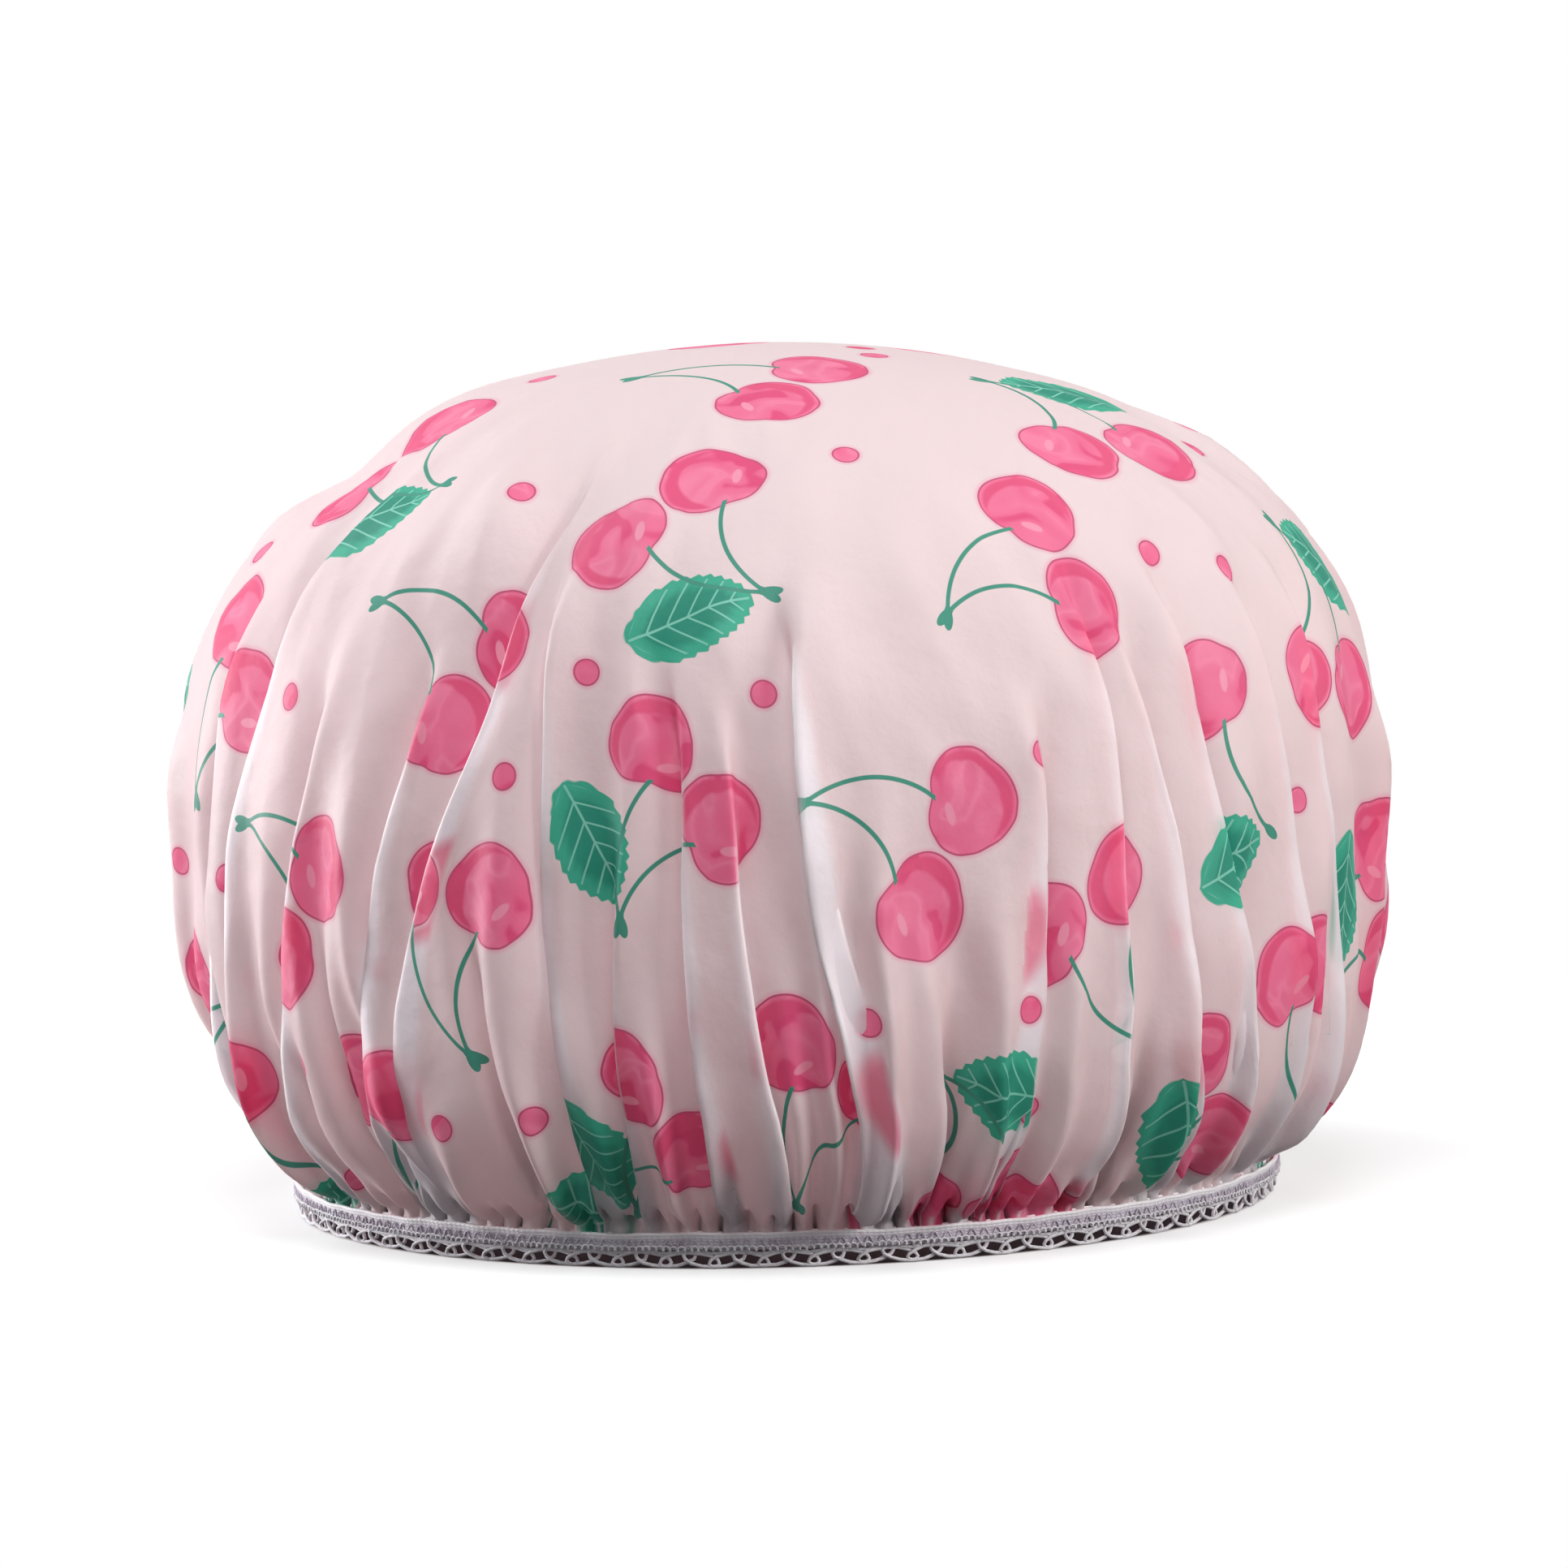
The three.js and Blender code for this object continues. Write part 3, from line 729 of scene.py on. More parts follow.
def cherry_print(tree, bare):
    """The colour of the film with sprigs of cherries and dots on it."""
    cut = add(tree, "ShaderNodeUVMap", uv_map="cut")
    flat = add(tree, "ShaderNodeVectorMath", {0: cut, 1: (CUT_WIDTH, CUT_WIDTH, 0)}, operation="MULTIPLY")
    place, sprig, chances = printed_cell(tree, flat)
    brush = add(tree, "ShaderNodeTexNoise", {"Vector": flat, "Scale": 1 / PAINT_PATCH, "Detail": 1.0,
                                             "Distortion": 0.5}, noise_dimensions="2D")
    wobble = add(tree, "ShaderNodeMath", {0: brush, 1: 0.5}, operation="SUBTRACT")
    whole, lone = [cherry_fields(tree, sprig, np.array(middle), wobble) for middle in CHERRY_PLACES]
    lone = [shown_if(tree, field, chances[0], LONE_CHERRIES) for field in lone]
    stems = [stem_field(tree, sprig, np.array(middle)) for middle in CHERRY_PLACES]
    leaf, veins = [shown_if(tree, field, chances[1], LEAFLESS) for field in leaf_fields(tree, sprig, wobble)]
    dots = [disc_field(tree, place, middle, (DOT_RADIUS, DOT_ROUNDNESS * DOT_RADIUS), middle[0])
            for middle in DOT_PLACES]
    shapes = {
        "fruit": [whole[0], lone[0], dots[0], shown_if(tree, dots[1], chances[2], FEW_DOTS)],
        "shade": [whole[1], lone[1]],
        "glint": [whole[2], lone[2]],
        "stem": [stems[0], shown_if(tree, stems[1], chances[0], LONE_CHERRIES)],
    }
    drawn = {}
    for name, fields in shapes.items():
        drawn[name] = fields[0]
        for field in fields[1:]:
            drawn[name] = add(tree, "ShaderNodeMath", {0: drawn[name], 1: field}, operation="MAXIMUM")
    rim = add(tree, "ShaderNodeMath", {0: drawn["fruit"], 1: OUTLINE_WIDTH / 2}, operation="SUBTRACT")
    off_rim = add(tree, "ShaderNodeMath", {0: rim}, operation="ABSOLUTE")
    edge = PRINT_EDGE / 2
    inks = [
        (linear("#f4c9d4"), drawn["fruit"], -HALO_WIDTH, 0.0),
        (linear(LEAF_GREEN), leaf, -edge, edge),
        (linear("#27967d"), leaf, *LEAF_SHADE),
        (linear("#86d8c2"), veins, -edge, edge),
        (cherry_paint(tree, brush), drawn["fruit"], -edge, edge),
        (linear("#ee5c88"), drawn["shade"], -edge, SHADE_BLUR),
        (linear("#fda3bd"), drawn["glint"], -GLINT_BLUR, GLINT_BLUR),
        (linear("#cf5a80"), off_rim, OUTLINE_WIDTH, OUTLINE_WIDTH / 3),
        (linear("#459c86"), drawn["stem"], -edge, edge),
    ]
    colour = bare
    for ink, field, low, high in inks:
        laid = add(tree, "ShaderNodeMapRange", {"Value": field, "From Min": low, "From Max": high},
                   interpolation_type="SMOOTHSTEP")
        colour = add(tree, "ShaderNodeMix", {"Factor": laid, "A": colour, "B": ink}, data_type="RGBA")
    return colour


# How far the print of a folded layer blurs through the film over it, and how much of it shows
UNDER_BLUR, UNDER_SHARE = 2.2, 0.75
UNDER_CHERRY = "#ee6f95"


def print_beneath(tree, bare):
    """The colour of the film with the blurred print of the layer that a pleat has folded under it."""
    across = add(tree, "ShaderNodeAttribute", attribute_name="beneath_x")
    along = add(tree, "ShaderNodeAttribute", attribute_name="beneath_y")
    flap = add(tree, "ShaderNodeAttribute", attribute_name="flap")
    flat = add(tree, "ShaderNodeCombineXYZ", {0: across.outputs["Fac"], 1: along.outputs["Fac"]})
    _, sprig, chances = printed_cell(tree, flat)
    cherry, lone = [disc_field(tree, sprig, middle, (CHERRY_RADIUS, CHERRY_RADIUS))
                    for middle in CHERRY_PLACES]
    leaf = disc_field(tree, sprig, LEAF_PLACE, (LEAF_LENGTH / 2, LEAF_WIDTH / 2), LEAF_TURN)
    inks = [
        (linear(LEAF_GREEN), shown_if(tree, leaf, chances[1], LEAFLESS)),
        (linear(UNDER_CHERRY), shown_if(tree, lone, chances[0], LONE_CHERRIES)),
        (linear(UNDER_CHERRY), cherry),
    ]
    colour = bare
    for ink, field in inks:
        shown = add(tree, "ShaderNodeMapRange", {"Value": field, "From Min": -UNDER_BLUR,
                                                 "From Max": UNDER_BLUR, "To Max": UNDER_SHARE},
                    interpolation_type="SMOOTHSTEP")
        veiled = add(tree, "ShaderNodeMath", {0: shown, 1: flap.outputs["Fac"]}, operation="MULTIPLY")
        colour = add(tree, "ShaderNodeMix", {"Factor": veiled, "A": colour, "B": ink}, data_type="RGBA")
    return colour


# Frost of the film: fine grain, and the soft crinkles of film that was packed flat
FROST_GRAIN, FROST_DEPTH = 1.1, 0.05
CRINKLE_SIZE, CRINKLE_DEPTH = 9.0, 0.5

# Over these numbers of layers the film turns whiter, and comes to keep back STACK_BLOCKS of its light.
# Flat and creased film send on these shares of light. SHOWN_THROUGH of that shows what lies behind, blurred.
STACKED_FILM = (1.2, 2.8)
STACK_BLOCKS = 0.25
LIT_THROUGH = (0.52, 0.25)
SHOWN_THROUGH = 0.55
# Share by which creases turn near white: partly stress whitening, partly a painted highlight
CREASE_WHITENING = 0.8


def film_material():
    """Frosted EVA film, blown thin and embossed: milky, soft to shine, and lit through from behind.

    Creases whiten it, partly as stress whitening and partly as a painted highlight, and stacked layers whiten
    it. Painted shade darkens its gaps, deep valleys and hem, and flaps show the print under them.
    """
    material, tree = new_material("frosted EVA film")
    layers = add(tree, "ShaderNodeAttribute", attribute_name="layers")
    stacked = add(tree, "ShaderNodeMapRange", {"Value": layers.outputs["Fac"], "From Min": STACKED_FILM[0],
                                               "From Max": STACKED_FILM[1]})
    bare = add(tree, "ShaderNodeMix", {"Factor": stacked, "A": linear("#f4e4e4"), "B": linear("#f5eff2")},
               data_type="RGBA")
    printed = cherry_print(tree, print_beneath(tree, bare))
    # Creases and pucker tops turn near white: partly stress whitening, partly a painted highlight
    crease = add(tree, "ShaderNodeAttribute", attribute_name="crease")
    whitened = add(tree, "ShaderNodeMath", {0: crease.outputs["Fac"], 1: CREASE_WHITENING},
                   operation="MULTIPLY")
    creased = add(tree, "ShaderNodeMix", {"Factor": whitened, "A": printed, "B": linear("#fffafb")},
                  data_type="RGBA")
    # Painted shade: a dark mauve laid over the gaps between gathers, deep valleys and the film near the hem
    painted_shade = add(tree, "ShaderNodeAttribute", attribute_name="painted_shade")
    colour = add(tree, "ShaderNodeMix", {"Factor": painted_shade.outputs["Fac"], "A": creased,
                                         "B": linear("#3b3038")}, data_type="RGBA")
    place = add(tree, "ShaderNodeTexCoord")
    relief = {}
    for size, depth in ((CRINKLE_SIZE, CRINKLE_DEPTH), (FROST_GRAIN, FROST_DEPTH)):
        grain = add(tree, "ShaderNodeTexNoise", {"Vector": place.outputs["Object"], "Scale": 1 / (size * MM),
                                                 "Detail": 2.0})
        bump = add(tree, "ShaderNodeBump", {"Height": grain, "Strength": 1.0, "Distance": depth * MM,
                                            **relief})
        relief = {"Normal": bump}
    front = add(tree, "ShaderNodeBsdfPrincipled", {"Base Color": colour, "Roughness": 0.52, "IOR": 1.46,
                                                   **relief})
    spread = add(tree, "ShaderNodeBsdfTranslucent", {"Color": colour, **relief})
    blurred = add(tree, "ShaderNodeBsdfRefraction", {"Color": colour, "Roughness": 0.8, "IOR": 1.3, **relief})
    through = add(tree, "ShaderNodeMixShader", {0: SHOWN_THROUGH, 1: spread, 2: blurred})
    sent_on = add(tree, "ShaderNodeMapRange", {"Value": crease.outputs["Fac"], "To Min": LIT_THROUGH[0],
                                               "To Max": LIT_THROUGH[1]})
    kept = add(tree, "ShaderNodeMath", {0: stacked, 1: -STACK_BLOCKS, 2: 1.0}, operation="MULTIPLY_ADD")
    passed = add(tree, "ShaderNodeMath", {0: sent_on, 1: kept}, operation="MULTIPLY")
    film = add(tree, "ShaderNodeMixShader", {0: passed, 1: front, 2: through})
    add(tree, "ShaderNodeOutputMaterial", {"Surface": film})
    return material


film = film_piece(film_material())
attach(film, BODY)
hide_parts("film_crown")


# The trim: tape, lace and thread

# Tape: outline of its section, as distances out from the slot's wall or the tape's face, and distances under
# its top or over its foot. The gathers push it about by waves: height, crests and shift.
TAPE_STATIONS = 1080
TAPE_BEAD, PALE_TOP_EDGE = 0.3, 0.75
SLOT_MOUTH = [(0.0, 0.5), (0.0, 0.15), (0.12, 0.0)]
ROLLED_EDGE = [(-0.1, 0.0), (0.7 * TAPE_BEAD, 0.12), (TAPE_BEAD, 0.3), (0.6 * TAPE_BEAD, 0.5), (0.0, 0.68),
               (-0.03, 1.3), (0.0, 2.0)]
FOLDED_FOOT = [(0.0, 0.6), (-0.08, 0.28), (-0.3, 0.07)]
TAPE_SWAY, SWAY_WAVES = 0.10, [(1.0, PUCKERS / 2, 0), (0.8, 37, 1)]
TAPE_LIFT, LIFT_WAVES = 0.12, [(1.0, 9, 2), (0.7, 23, 0), (0.5, 61, 0)]

# Weave of the tape, patches of dirt to a millimetre, and bands that a wave texture of scale 1 has in one unit
WEAVE_STEP, WEAVE_DEPTH = 0.55, 0.12
TAPE_DIRT = 0.35
BANDS_PER_UNIT = 3.18

# Thread: its twist, its wavers to a millimetre, and the dust on the rubber
SEAM_TWIST, LACE_TWIST, TWIST_DEPTH = 0.5, 0.8, 0.1
THREAD_WAVERS = 0.42
RUBBER_DUST = 1.5
THREAD_SIDES = 5
POINTS_PER_LOOP = 12


def tape_section():
    """Half of the folded tape's cross-section and its mirror, as distance from the hem circle and height."""
    inner, outer = TAPE_SLOT / 2, TAPE_SLOT / 2 + TAPE_WALL
    side = [(inner, TAPE_FLOOR + TAPE_WALL)]
    side += [(inner + out, TAPE_TOP - drop) for out, drop in SLOT_MOUTH]
    side += [(outer + out, TAPE_TOP - drop) for out, drop in ROLLED_EDGE]
    side += [(outer + out, TAPE_FLOOR + rise) for out, rise in FOLDED_FOOT]
    side.append((inner, TAPE_FLOOR))
    return side + [(-x, z) for x, z in reversed(side)]


def tape_piece(material):
    """The woven tape, folded round the film's edge, with its two ends meeting at the back."""
    section = np.array(tape_section())
    gap = JOIN_GAP / HEM_RADIUS / 2
    angles = np.linspace(-math.pi + gap, math.pi - gap, TAPE_STATIONS)
    out = TAPE_SWAY * waves(angles, SWAY_WAVES)
    up = TAPE_LIFT * waves(angles, LIFT_WAVES)
    away = HEM_RADIUS + out[:, None] + section[None, :, 0]
    points = np.stack([away * np.sin(angles)[:, None], -away * np.cos(angles)[:, None],
                       up[:, None] + section[None, :, 1]], axis=-1)
    count = len(section)
    faces = []
    for i in range(TAPE_STATIONS - 1):
        for k in range(count):
            a, b = i * count + k, i * count + (k + 1) % count
            faces.append((a, a + count, b + count, b))
    last = (TAPE_STATIONS - 1) * count
    faces.append(tuple(range(count)))
    faces.append(tuple(last + k for k in reversed(range(count))))
    girth = np.concatenate([[0], np.cumsum(np.linalg.norm(np.diff(section, axis=0), axis=1))])
    along = np.repeat(angles * HEM_RADIUS, count)
    edge = np.tile(section[:, 1] > TAPE_TOP - PALE_TOP_EDGE, TAPE_STATIONS).astype(float)
    return mesh_object("hem_tape_woven", points.reshape(-1, 3), faces, material,
                       np.stack([along, np.tile(girth, TAPE_STATIONS)], axis=-1), {"pale_top_edge": edge})


def woven_tape_material():
    """Polyester tape, woven and heat-set: a dull lavender grey with fine ribs across it and a paler edge."""
    material, tree = new_material("woven polyester tape")
    cut = add(tree, "ShaderNodeUVMap", uv_map="cut")
    ribs = add(tree, "ShaderNodeTexWave", {"Vector": cut, "Scale": 1 / (2 * WEAVE_STEP) / BANDS_PER_UNIT,
                                           "Distortion": 0.6, "Detail": 1.0}, bands_direction="X")
    picks = add(tree, "ShaderNodeTexWave", {"Vector": cut, "Scale": 1 / WEAVE_STEP / BANDS_PER_UNIT,
                                            "Distortion": 0.8}, bands_direction="Y")
    weave = add(tree, "ShaderNodeMath", {0: ribs.outputs[1], 1: picks.outputs[1]}, operation="MULTIPLY")
    dirt = add(tree, "ShaderNodeTexNoise", {"Vector": cut, "Scale": TAPE_DIRT, "Detail": 3.0})
    tone = add(tree, "ShaderNodeMath", {0: dirt, 1: 0.5, 2: weave}, operation="MULTIPLY_ADD")
    colour = add(tree, "ShaderNodeMix", {"Factor": tone, "A": linear("#9f97a6"), "B": linear("#cfc7d2")},
                 data_type="RGBA")
    # The band along the tape's top edge is coloured near white
    edge = add(tree, "ShaderNodeAttribute", attribute_name="pale_top_edge")
    edged = add(tree, "ShaderNodeMix", {"Factor": edge.outputs["Fac"], "A": colour, "B": linear("#fbf8fb")},
                data_type="RGBA")
    bump = add(tree, "ShaderNodeBump", {"Height": weave, "Strength": 0.7, "Distance": WEAVE_DEPTH * MM})
    cloth = add(tree, "ShaderNodeBsdfPrincipled", {"Base Color": edged, "Roughness": 0.62,
                                                   "Sheen Weight": 0.25, "Normal": bump})
    add(tree, "ShaderNodeOutputMaterial", {"Surface": cloth})
    return material


def thread_material(name, shade, light, twist):
    """Spun polyester thread: matt, with the pale and dark of its twist."""
    material, tree = new_material(name)
    place = add(tree, "ShaderNodeTexCoord")
    strands = add(tree, "ShaderNodeTexNoise", {"Vector": place.outputs["Object"], "Scale": 1 / (twist * MM),
                                               "Detail": 3.0, "Roughness": 0.65})
    colour = add(tree, "ShaderNodeMix", {"Factor": strands, "A": linear(shade), "B": linear(light)},
                 data_type="RGBA")
    bump = add(tree, "ShaderNodeBump", {"Height": strands, "Strength": 0.5, "Distance": TWIST_DEPTH * MM})
    thread = add(tree, "ShaderNodeBsdfPrincipled", {"Base Color": colour, "Roughness": 0.7,
                                                    "Sheen Weight": 0.3, "Normal": bump})
    add(tree, "ShaderNodeOutputMaterial", {"Surface": thread})
    return material


def rubber_material():
    """Natural rubber elastic, cut square from sheet: creamy, matt and faintly dusty."""
    material, tree = new_material("natural rubber elastic")
    place = add(tree, "ShaderNodeTexCoord")
    dust = add(tree, "ShaderNodeTexNoise", {"Vector": place.outputs["Object"],
                                            "Scale": 1 / (RUBBER_DUST * MM), "Detail": 2.0})
    colour = add(tree, "ShaderNodeMix", {"Factor": dust, "A": linear("#d8cdb8"), "B": linear("#efe7d8")},
                 data_type="RGBA")
    rubber = add(tree, "ShaderNodeBsdfPrincipled", {"Base Color": colour, "Roughness": 0.8})
    add(tree, "ShaderNodeOutputMaterial", {"Surface": rubber})
    return material


# Inputs of one round of looped thread, with their usual values. All but NOT_LENGTHS are in millimetres here.
COURSE_INPUTS = {"Radius": HEM_RADIUS, "Loops": 64, "Middle": 2.0, "Half Height": 1.0, "Swing": 0.0,
                 "Depth": 0.0, "Thread": 0.3, "Unevenness": 0.7, "Seed": 0.0}
NOT_LENGTHS = ("Loops", "Seed")

# The lace repeats this many times round the hem
LACE_MOTIFS = 64
LACE_COURSES = [
    # Heading: a cord close under the tape, and a wavy one that leaves a slot above each scallop
    {"Loops": 8 * LACE_MOTIFS, "Middle": 3.75, "Half Height": 0.12, "Depth": 0.1, "Thread": 0.46},
    {"Loops": LACE_MOTIFS, "Middle": 3.15, "Half Height": 0.25, "Thread": 0.66, "Seed": 1.0},
    # A close row of loops laid over the foot of the tape
    {"Radius": TAPE_RADIUS + 0.15, "Loops": 7 * LACE_MOTIFS, "Middle": TAPE_FLOOR + 0.4, "Half Height": 0.4,
     "Swing": 0.34, "Thread": 0.38, "Seed": 5.0},
    # Rings between the scallops: a thread that loops back over itself and runs on along the edge
    {"Loops": LACE_MOTIFS, "Middle": 1.85, "Half Height": 1.4, "Swing": -2.95, "Depth": 0.3, "Thread": 0.72,
     "Seed": 2.0},
    # Scallops: a thread with a drop-shaped loop at each point
    {"Loops": LACE_MOTIFS, "Middle": 1.75, "Half Height": 1.25, "Swing": 2.9, "Depth": -0.2, "Thread": 0.66,
     "Seed": 3.0},
]

# The zigzag seam on the tape's face
SEAM_THREAD = 0.30
ZIGZAGS = 240
SEAM_COURSES = [
    {"Radius": TAPE_RADIUS + SEAM_THREAD / 2, "Loops": ZIGZAGS, "Middle": TAPE_FLOOR + 1.15,
     "Half Height": 0.8, "Thread": SEAM_THREAD, "Unevenness": 0.12},
]


def course_tree():
    """Adds one round of looped thread to what it is given. Its lengths are in metres."""
    tree = bpy.data.node_groups.new("round of looped thread", "GeometryNodeTree")
    tree.interface.new_socket("Geometry", in_out="INPUT", socket_type="NodeSocketGeometry")
    for name, usual in COURSE_INPUTS.items():
        kind = "NodeSocketInt" if isinstance(usual, int) else "NodeSocketFloat"
        tree.interface.new_socket(name, in_out="INPUT", socket_type=kind)
    tree.interface.new_socket("Material", in_out="INPUT", socket_type="NodeSocketMaterial")
    tree.interface.new_socket("Geometry", in_out="OUTPUT", socket_type="NodeSocketGeometry")
    given = add(tree, "NodeGroupInput").outputs
    count = add(tree, "ShaderNodeMath", {0: given["Loops"], 1: POINTS_PER_LOOP}, operation="MULTIPLY")
    circle = add(tree, "GeometryNodeCurvePrimitiveCircle", {"Resolution": count, "Radius": given["Radius"]})
    index = add(tree, "GeometryNodeInputIndex")
    turn = add(tree, "ShaderNodeMath", {0: index, 1: 2 * math.pi / POINTS_PER_LOOP}, operation="MULTIPLY")
    sine = add(tree, "ShaderNodeMath", {0: turn}, operation="SINE")
    cosine = add(tree, "ShaderNodeMath", {0: turn}, operation="COSINE")
    side = add(tree, "ShaderNodeMath", {0: sine, 1: given["Swing"]}, operation="MULTIPLY")
    angle = add(tree, "ShaderNodeMath", {0: side, 1: given["Radius"]}, operation="DIVIDE")
    start = add(tree, "GeometryNodeInputPosition")
    swung = add(tree, "ShaderNodeVectorRotate", {"Vector": start, "Angle": angle}, rotation_type="Z_AXIS")
    deep = add(tree, "ShaderNodeMath", {0: sine, 1: given["Depth"]}, operation="MULTIPLY")
    share = add(tree, "ShaderNodeMath", {0: deep, 1: given["Radius"]}, operation="DIVIDE")
    grown = add(tree, "ShaderNodeMath", {0: share, 1: 1.0}, operation="ADD")
    out = add(tree, "ShaderNodeVectorMath", {0: swung, "Scale": grown}, operation="SCALE")
    height = add(tree, "ShaderNodeMath", {0: cosine, 1: given["Half Height"], 2: given["Middle"]},
                 operation="MULTIPLY_ADD")
    rise = add(tree, "ShaderNodeCombineXYZ", {2: height})
    place = add(tree, "ShaderNodeVectorMath", {0: out, 1: rise}, operation="ADD")
    noise = add(tree, "ShaderNodeTexNoise", {"Vector": place, "W": given["Seed"], "Scale": THREAD_WAVERS / MM,
                                             "Detail": 2.0}, noise_dimensions="4D")
    centred = add(tree, "ShaderNodeVectorMath", {0: noise.outputs["Color"], 1: (0.5, 0.5, 0.5)},
                  operation="SUBTRACT")
    uneven = add(tree, "ShaderNodeVectorMath", {0: centred, "Scale": given["Unevenness"]}, operation="SCALE")
    placed = add(tree, "GeometryNodeSetPosition", {"Geometry": circle, "Position": place, "Offset": uneven})
    half = add(tree, "ShaderNodeMath", {0: given["Thread"], 1: 0.5}, operation="MULTIPLY")
    section = add(tree, "GeometryNodeCurvePrimitiveCircle", {"Resolution": THREAD_SIDES, "Radius": half})
    tube = add(tree, "GeometryNodeCurveToMesh", {"Curve": placed, "Profile Curve": section})
    smooth = add(tree, "GeometryNodeSetShadeSmooth", {"Geometry": tube})
    joined = add(tree, "GeometryNodeJoinGeometry", {0: given["Geometry"]})
    tree.links.new(smooth.outputs[0], joined.inputs[0])
    real = add(tree, "GeometryNodeRealizeInstances", {0: joined})
    finished = add(tree, "GeometryNodeSetMaterial", {"Geometry": real, "Material": given["Material"]})
    add(tree, "NodeGroupOutput", {0: finished})
    return tree


def thread_piece(name, tree, courses, material):
    """A piece made of rounds of looped thread, turned into a plain mesh."""
    maker = bpy.data.objects.new(name + "_maker", bpy.data.meshes.new(name + "_maker"))
    bpy.context.collection.objects.link(maker)
    sockets = {item.name: item.identifier for item in tree.interface.items_tree if item.in_out == "INPUT"}
    for course in courses:
        modifier = maker.modifiers.new("course", "NODES")
        modifier.node_group = tree
        for field, value in {**COURSE_INPUTS, **course}.items():
            modifier[sockets[field]] = value if field in NOT_LENGTHS else value * MM
        modifier[sockets["Material"]] = material
    made = maker.evaluated_get(bpy.context.evaluated_depsgraph_get())
    mesh = bpy.data.meshes.new_from_object(made)
    mesh.name = name
    bpy.data.objects.remove(maker)
    piece = bpy.data.objects.new(name, mesh)
    bpy.context.collection.objects.link(piece)
    return piece


def trim_pieces():
    """The tape, the lace and the outer seam, and the finishes of the pieces inside the hem."""
    tape_finish = woven_tape_material()
    seam_finish = thread_material("spun polyester seam thread", "#a199a7", "#d0c8d3", SEAM_TWIST)
    lace_finish = thread_material("spun polyester lace thread", "#aaa2ae", "#ffffff", LACE_TWIST)
    tape = tape_piece(tape_finish)
    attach(tape, BODY)
    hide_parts("hem_tape")
    tree = course_tree()
    lace = thread_piece("lace_edging_threads", tree, LACE_COURSES, lace_finish)
    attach(lace, BODY)
    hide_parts("lace_edging")
    seam = thread_piece("seam_stitches", tree, SEAM_COURSES, seam_finish)
    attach(seam, BODY)
    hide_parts("seam_thread_outer")
    rubber = rubber_material()
    finishes = {"elastic_strand_1": rubber, "elastic_strand_2": rubber, "seam_thread_inner": seam_finish,
                "join_tack": seam_finish}
    for node, finish in finishes.items():
        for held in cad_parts[node].material_slots:
            held.material = finish


trim_pieces()


# Camera, light and floor

# Camera: 6.6 pixels of a 1932 pixel frame to each millimetre at the cap
FRAME_WIDTH = 292.5
CAMERA_DISTANCE = 2000.0
CAMERA_RISE = math.radians(6)
CAMERA_ROLL = math.radians(-1.6)
CAMERA_TARGET = (1.5, 0.0, 77.5)
SENSOR_WIDTH = 36.0

# Floor, in metres: its width, the distances from the middle over which it turns plain white, and those over
# which the painted shade under the cap ends: the paper is coloured dark inside the hem's ring. FLOOR_LIFT is
# the least share of plain white outside that painted shade, and FLOOR_GLOW is the tone of the light that it
# sends back to the cap.
FLOOR_SIZE = 6.0
FLOOR_FADE = (0.13, 0.36)
FLOOR_SHADE = (0.0892, 0.0915)
FLOOR_LIFT = 0.55
FLOOR_GLOW = "#3c3a3c"
WHITE = (1.0, 1.0, 1.0, 1.0)
AMBIENT = 0.08

# Softboxes: place, width and height in metres, power in watts, and tint. All face LAMP_AIM.
LAMP_AIM = (0.0, 0.0, 0.08)
SOFTBOXES = [
    ("low left softbox", (-1.18, 0.5, 0.2), (0.7, 0.36), 14.0, (1.0, 0.98, 1.0)),
    ("left bounce card", (-0.5, 0.06, 0.04), (0.3, 0.2), 0.9, (1.0, 0.98, 1.0)),
    ("high left softbox", (-0.86, 0.4, 1.0), (0.6, 0.6), 9.5, (0.92, 0.98, 1.0)),
    ("low front card", (-0.45, -0.92, 0.16), (0.6, 0.3), 0.9, (1.0, 0.98, 1.0)),
    ("right softbox", (1.16, -0.62, 0.48), (0.7, 0.6), 13.8, (1.0, 0.98, 0.97)),
    ("right back softbox", (0.81, 0.22, 1.16), (0.7, 0.7), 5.5, (1.0, 0.97, 0.94)),
    ("front softbox", (0.0, -0.7, 1.37), (0.8, 0.8), 18.0, (0.92, 0.98, 1.0)),
]


def camera():
    """The camera, far off and a little above the hem, as a long lens sees the cap."""
    data = bpy.data.cameras.new("camera")
    eye = bpy.data.objects.new("camera", data)
    bpy.context.collection.objects.link(eye)
    back = Vector((0, -math.cos(CAMERA_RISE), math.sin(CAMERA_RISE)))
    eye.location = (Vector(CAMERA_TARGET) + CAMERA_DISTANCE * back) * MM
    eye.rotation_euler = (math.pi / 2 - CAMERA_RISE, 0, 0)
    eye.rotation_euler.rotate_axis("Z", CAMERA_ROLL)
    data.sensor_width = SENSOR_WIDTH
    data.lens = SENSOR_WIDTH * CAMERA_DISTANCE / FRAME_WIDTH
    bpy.context.scene.camera = eye


def softbox(name, place, size, power, tint):
    """An area lamp that faces the cap."""
    data = bpy.data.lights.new(name, "AREA")
    data.energy = power
    data.color = tint
    data.shape = "RECTANGLE"
    data.size, data.size_y = size
    lamp = bpy.data.objects.new(name, data)
    lamp.location = place
    lamp.rotation_euler = (Vector(LAMP_AIM) - Vector(place)).to_track_quat("-Z", "Y").to_euler()
    bpy.context.collection.objects.link(lamp)


def background_share(tree):
    """1 where the background shows straight, in gloss or through film, and 0 where it only lights the cap."""
    path = add(tree, "ShaderNodeLightPath").outputs
    clear = add(tree, "ShaderNodeMath", {0: path["Is Transmission Ray"], 1: path["Is Diffuse Ray"]},
                operation="SUBTRACT")
    seen = path["Is Camera Ray"]
    for way in (path["Is Glossy Ray"], clear):
        seen = add(tree, "ShaderNodeMath", {0: seen, 1: way}, operation="MAXIMUM")
    return seen


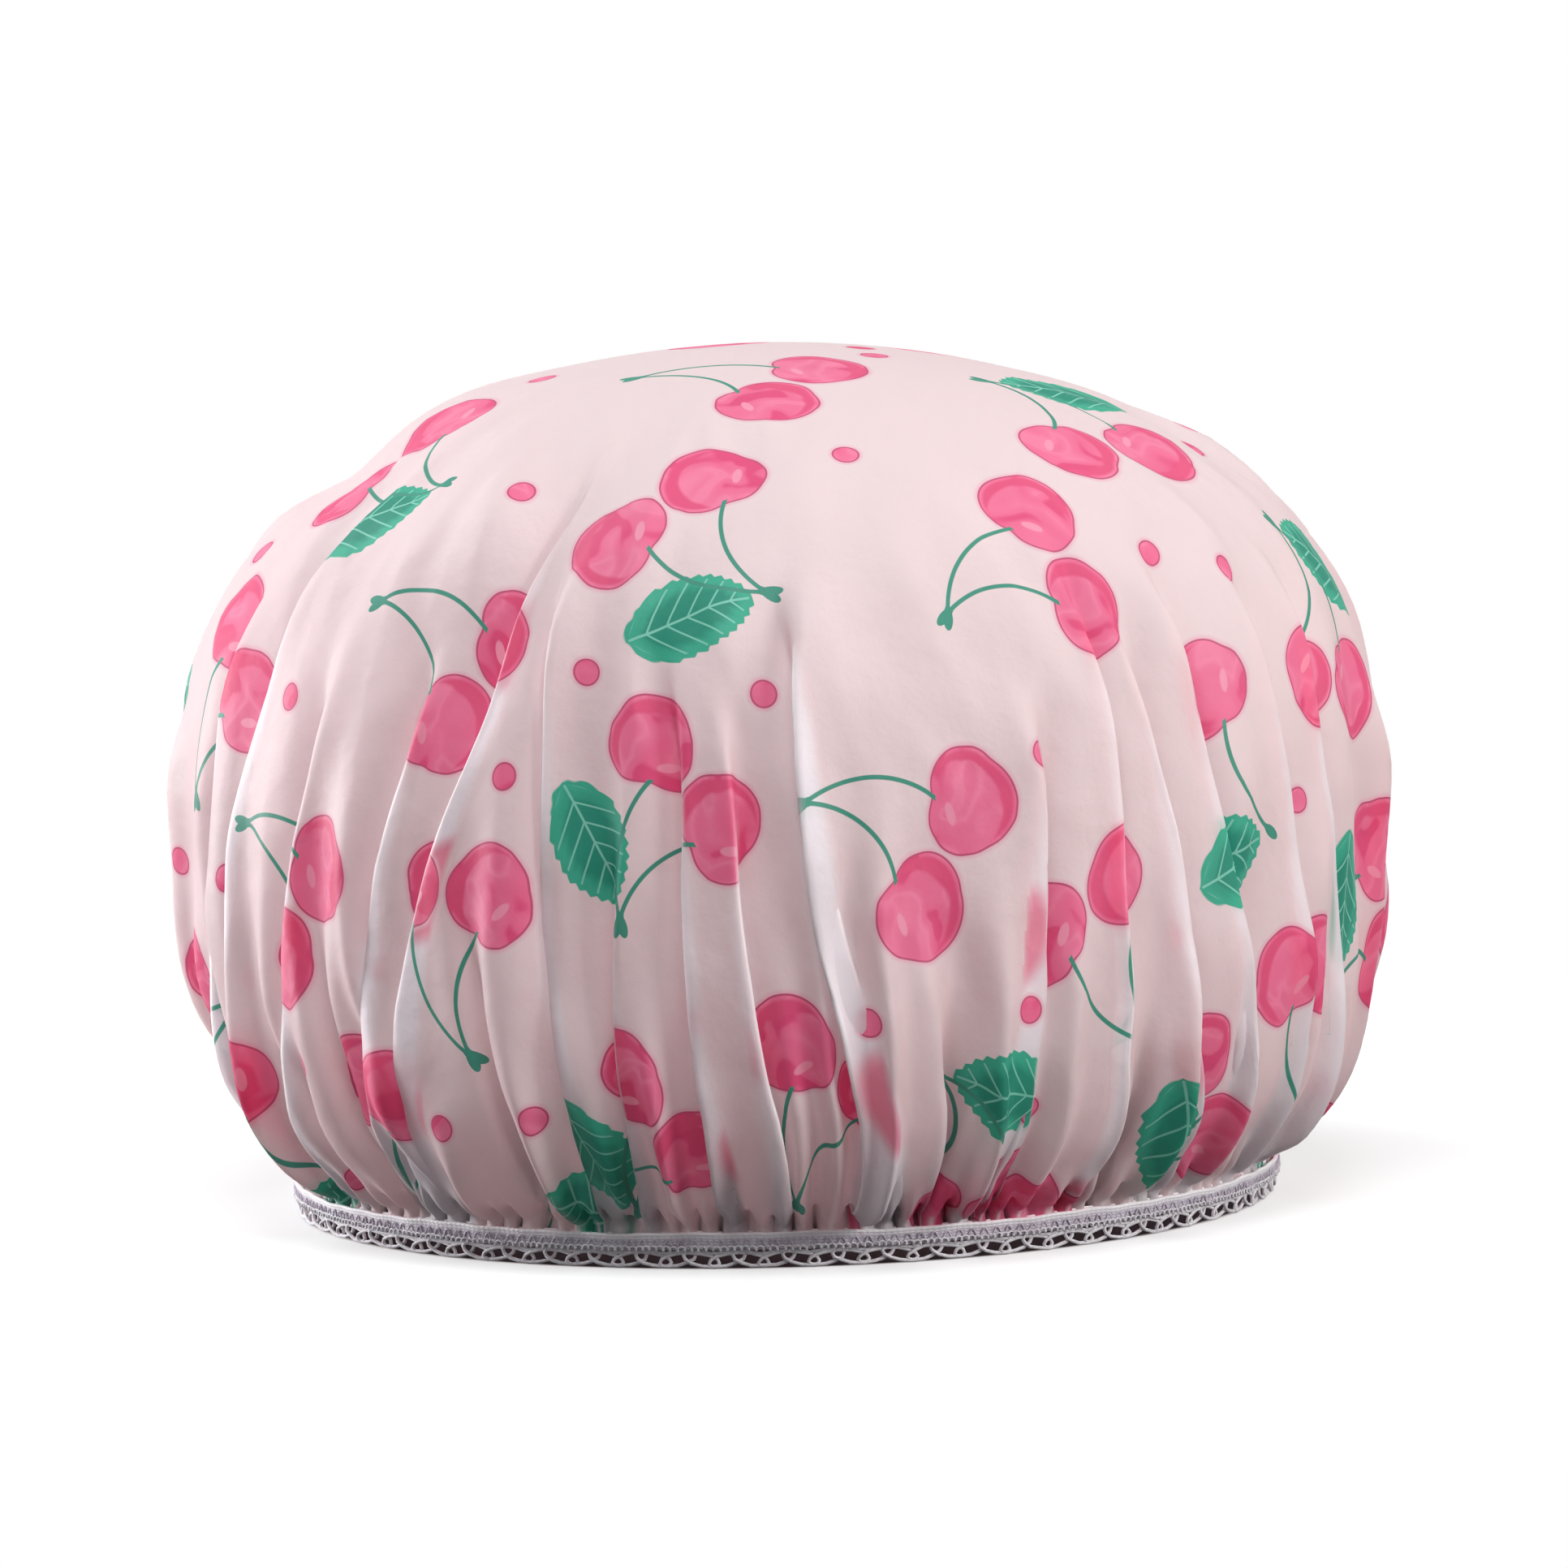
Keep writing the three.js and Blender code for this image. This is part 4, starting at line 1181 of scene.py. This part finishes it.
def white_surround():
    """A white background that gives the cap only a little light."""
    world = bpy.data.worlds.new("studio")
    world.use_nodes = True
    tree = world.node_tree
    tree.nodes.clear()
    around = add(tree, "ShaderNodeBackground", {"Color": WHITE, "Strength": AMBIENT})
    white = add(tree, "ShaderNodeBackground", {"Color": WHITE, "Strength": 1.0})
    mix = add(tree, "ShaderNodeMixShader", {0: background_share(tree), 1: around, 2: white})
    add(tree, "ShaderNodeOutputWorld", {"Surface": mix})
    bpy.context.scene.world = world


def paper_material():
    """White paper with painted shade, a dark disc inside the hem's ring: it fades to plain white, and sends
    little light back, so that the hem lies in shade.
    """
    paper, tree = new_material("white paper")
    place = add(tree, "ShaderNodeTexCoord")
    away = add(tree, "ShaderNodeVectorMath", {0: place.outputs["Object"]}, operation="LENGTH")
    fade, shade = [add(tree, "ShaderNodeMapRange", {"Value": away, "From Min": start, "From Max": end},
                       interpolation_type="SMOOTHSTEP") for start, end in (FLOOR_FADE, FLOOR_SHADE)]
    # Painted shade: the paper inside the hem's ring is coloured dark, out to the edge given by FLOOR_SHADE
    tone = add(tree, "ShaderNodeMix", {"Factor": shade, "A": linear("#3a3739"), "B": linear("#f6f6f6")},
               data_type="RGBA")
    near = add(tree, "ShaderNodeBsdfDiffuse", {"Color": tone})
    far = add(tree, "ShaderNodeEmission", {"Color": WHITE, "Strength": 1.0})
    lifted = add(tree, "ShaderNodeMath", {0: shade, 1: FLOOR_LIFT}, operation="MULTIPLY")
    whiteness = add(tree, "ShaderNodeMath", {0: fade, 1: lifted}, operation="MAXIMUM")
    sheet = add(tree, "ShaderNodeMixShader", {0: whiteness, 1: near, 2: far})
    dim = add(tree, "ShaderNodeBsdfDiffuse", {"Color": linear(FLOOR_GLOW)})
    mix = add(tree, "ShaderNodeMixShader", {0: background_share(tree), 1: dim, 2: sheet})
    add(tree, "ShaderNodeOutputMaterial", {"Surface": mix})
    return paper


def studio():
    """White paper underfoot and soft lamps above."""
    white_surround()
    half = FLOOR_SIZE / 2 / MM
    corners = [(-half, -half, 0), (half, -half, 0), (half, half, 0), (-half, half, 0)]
    floor = mesh_object("paper_floor", corners, [(0, 1, 2, 3)], paper_material())
    for lamp in SOFTBOXES:
        softbox(*lamp)


camera()
studio()
bpy.context.scene.view_settings.view_transform = "Standard"
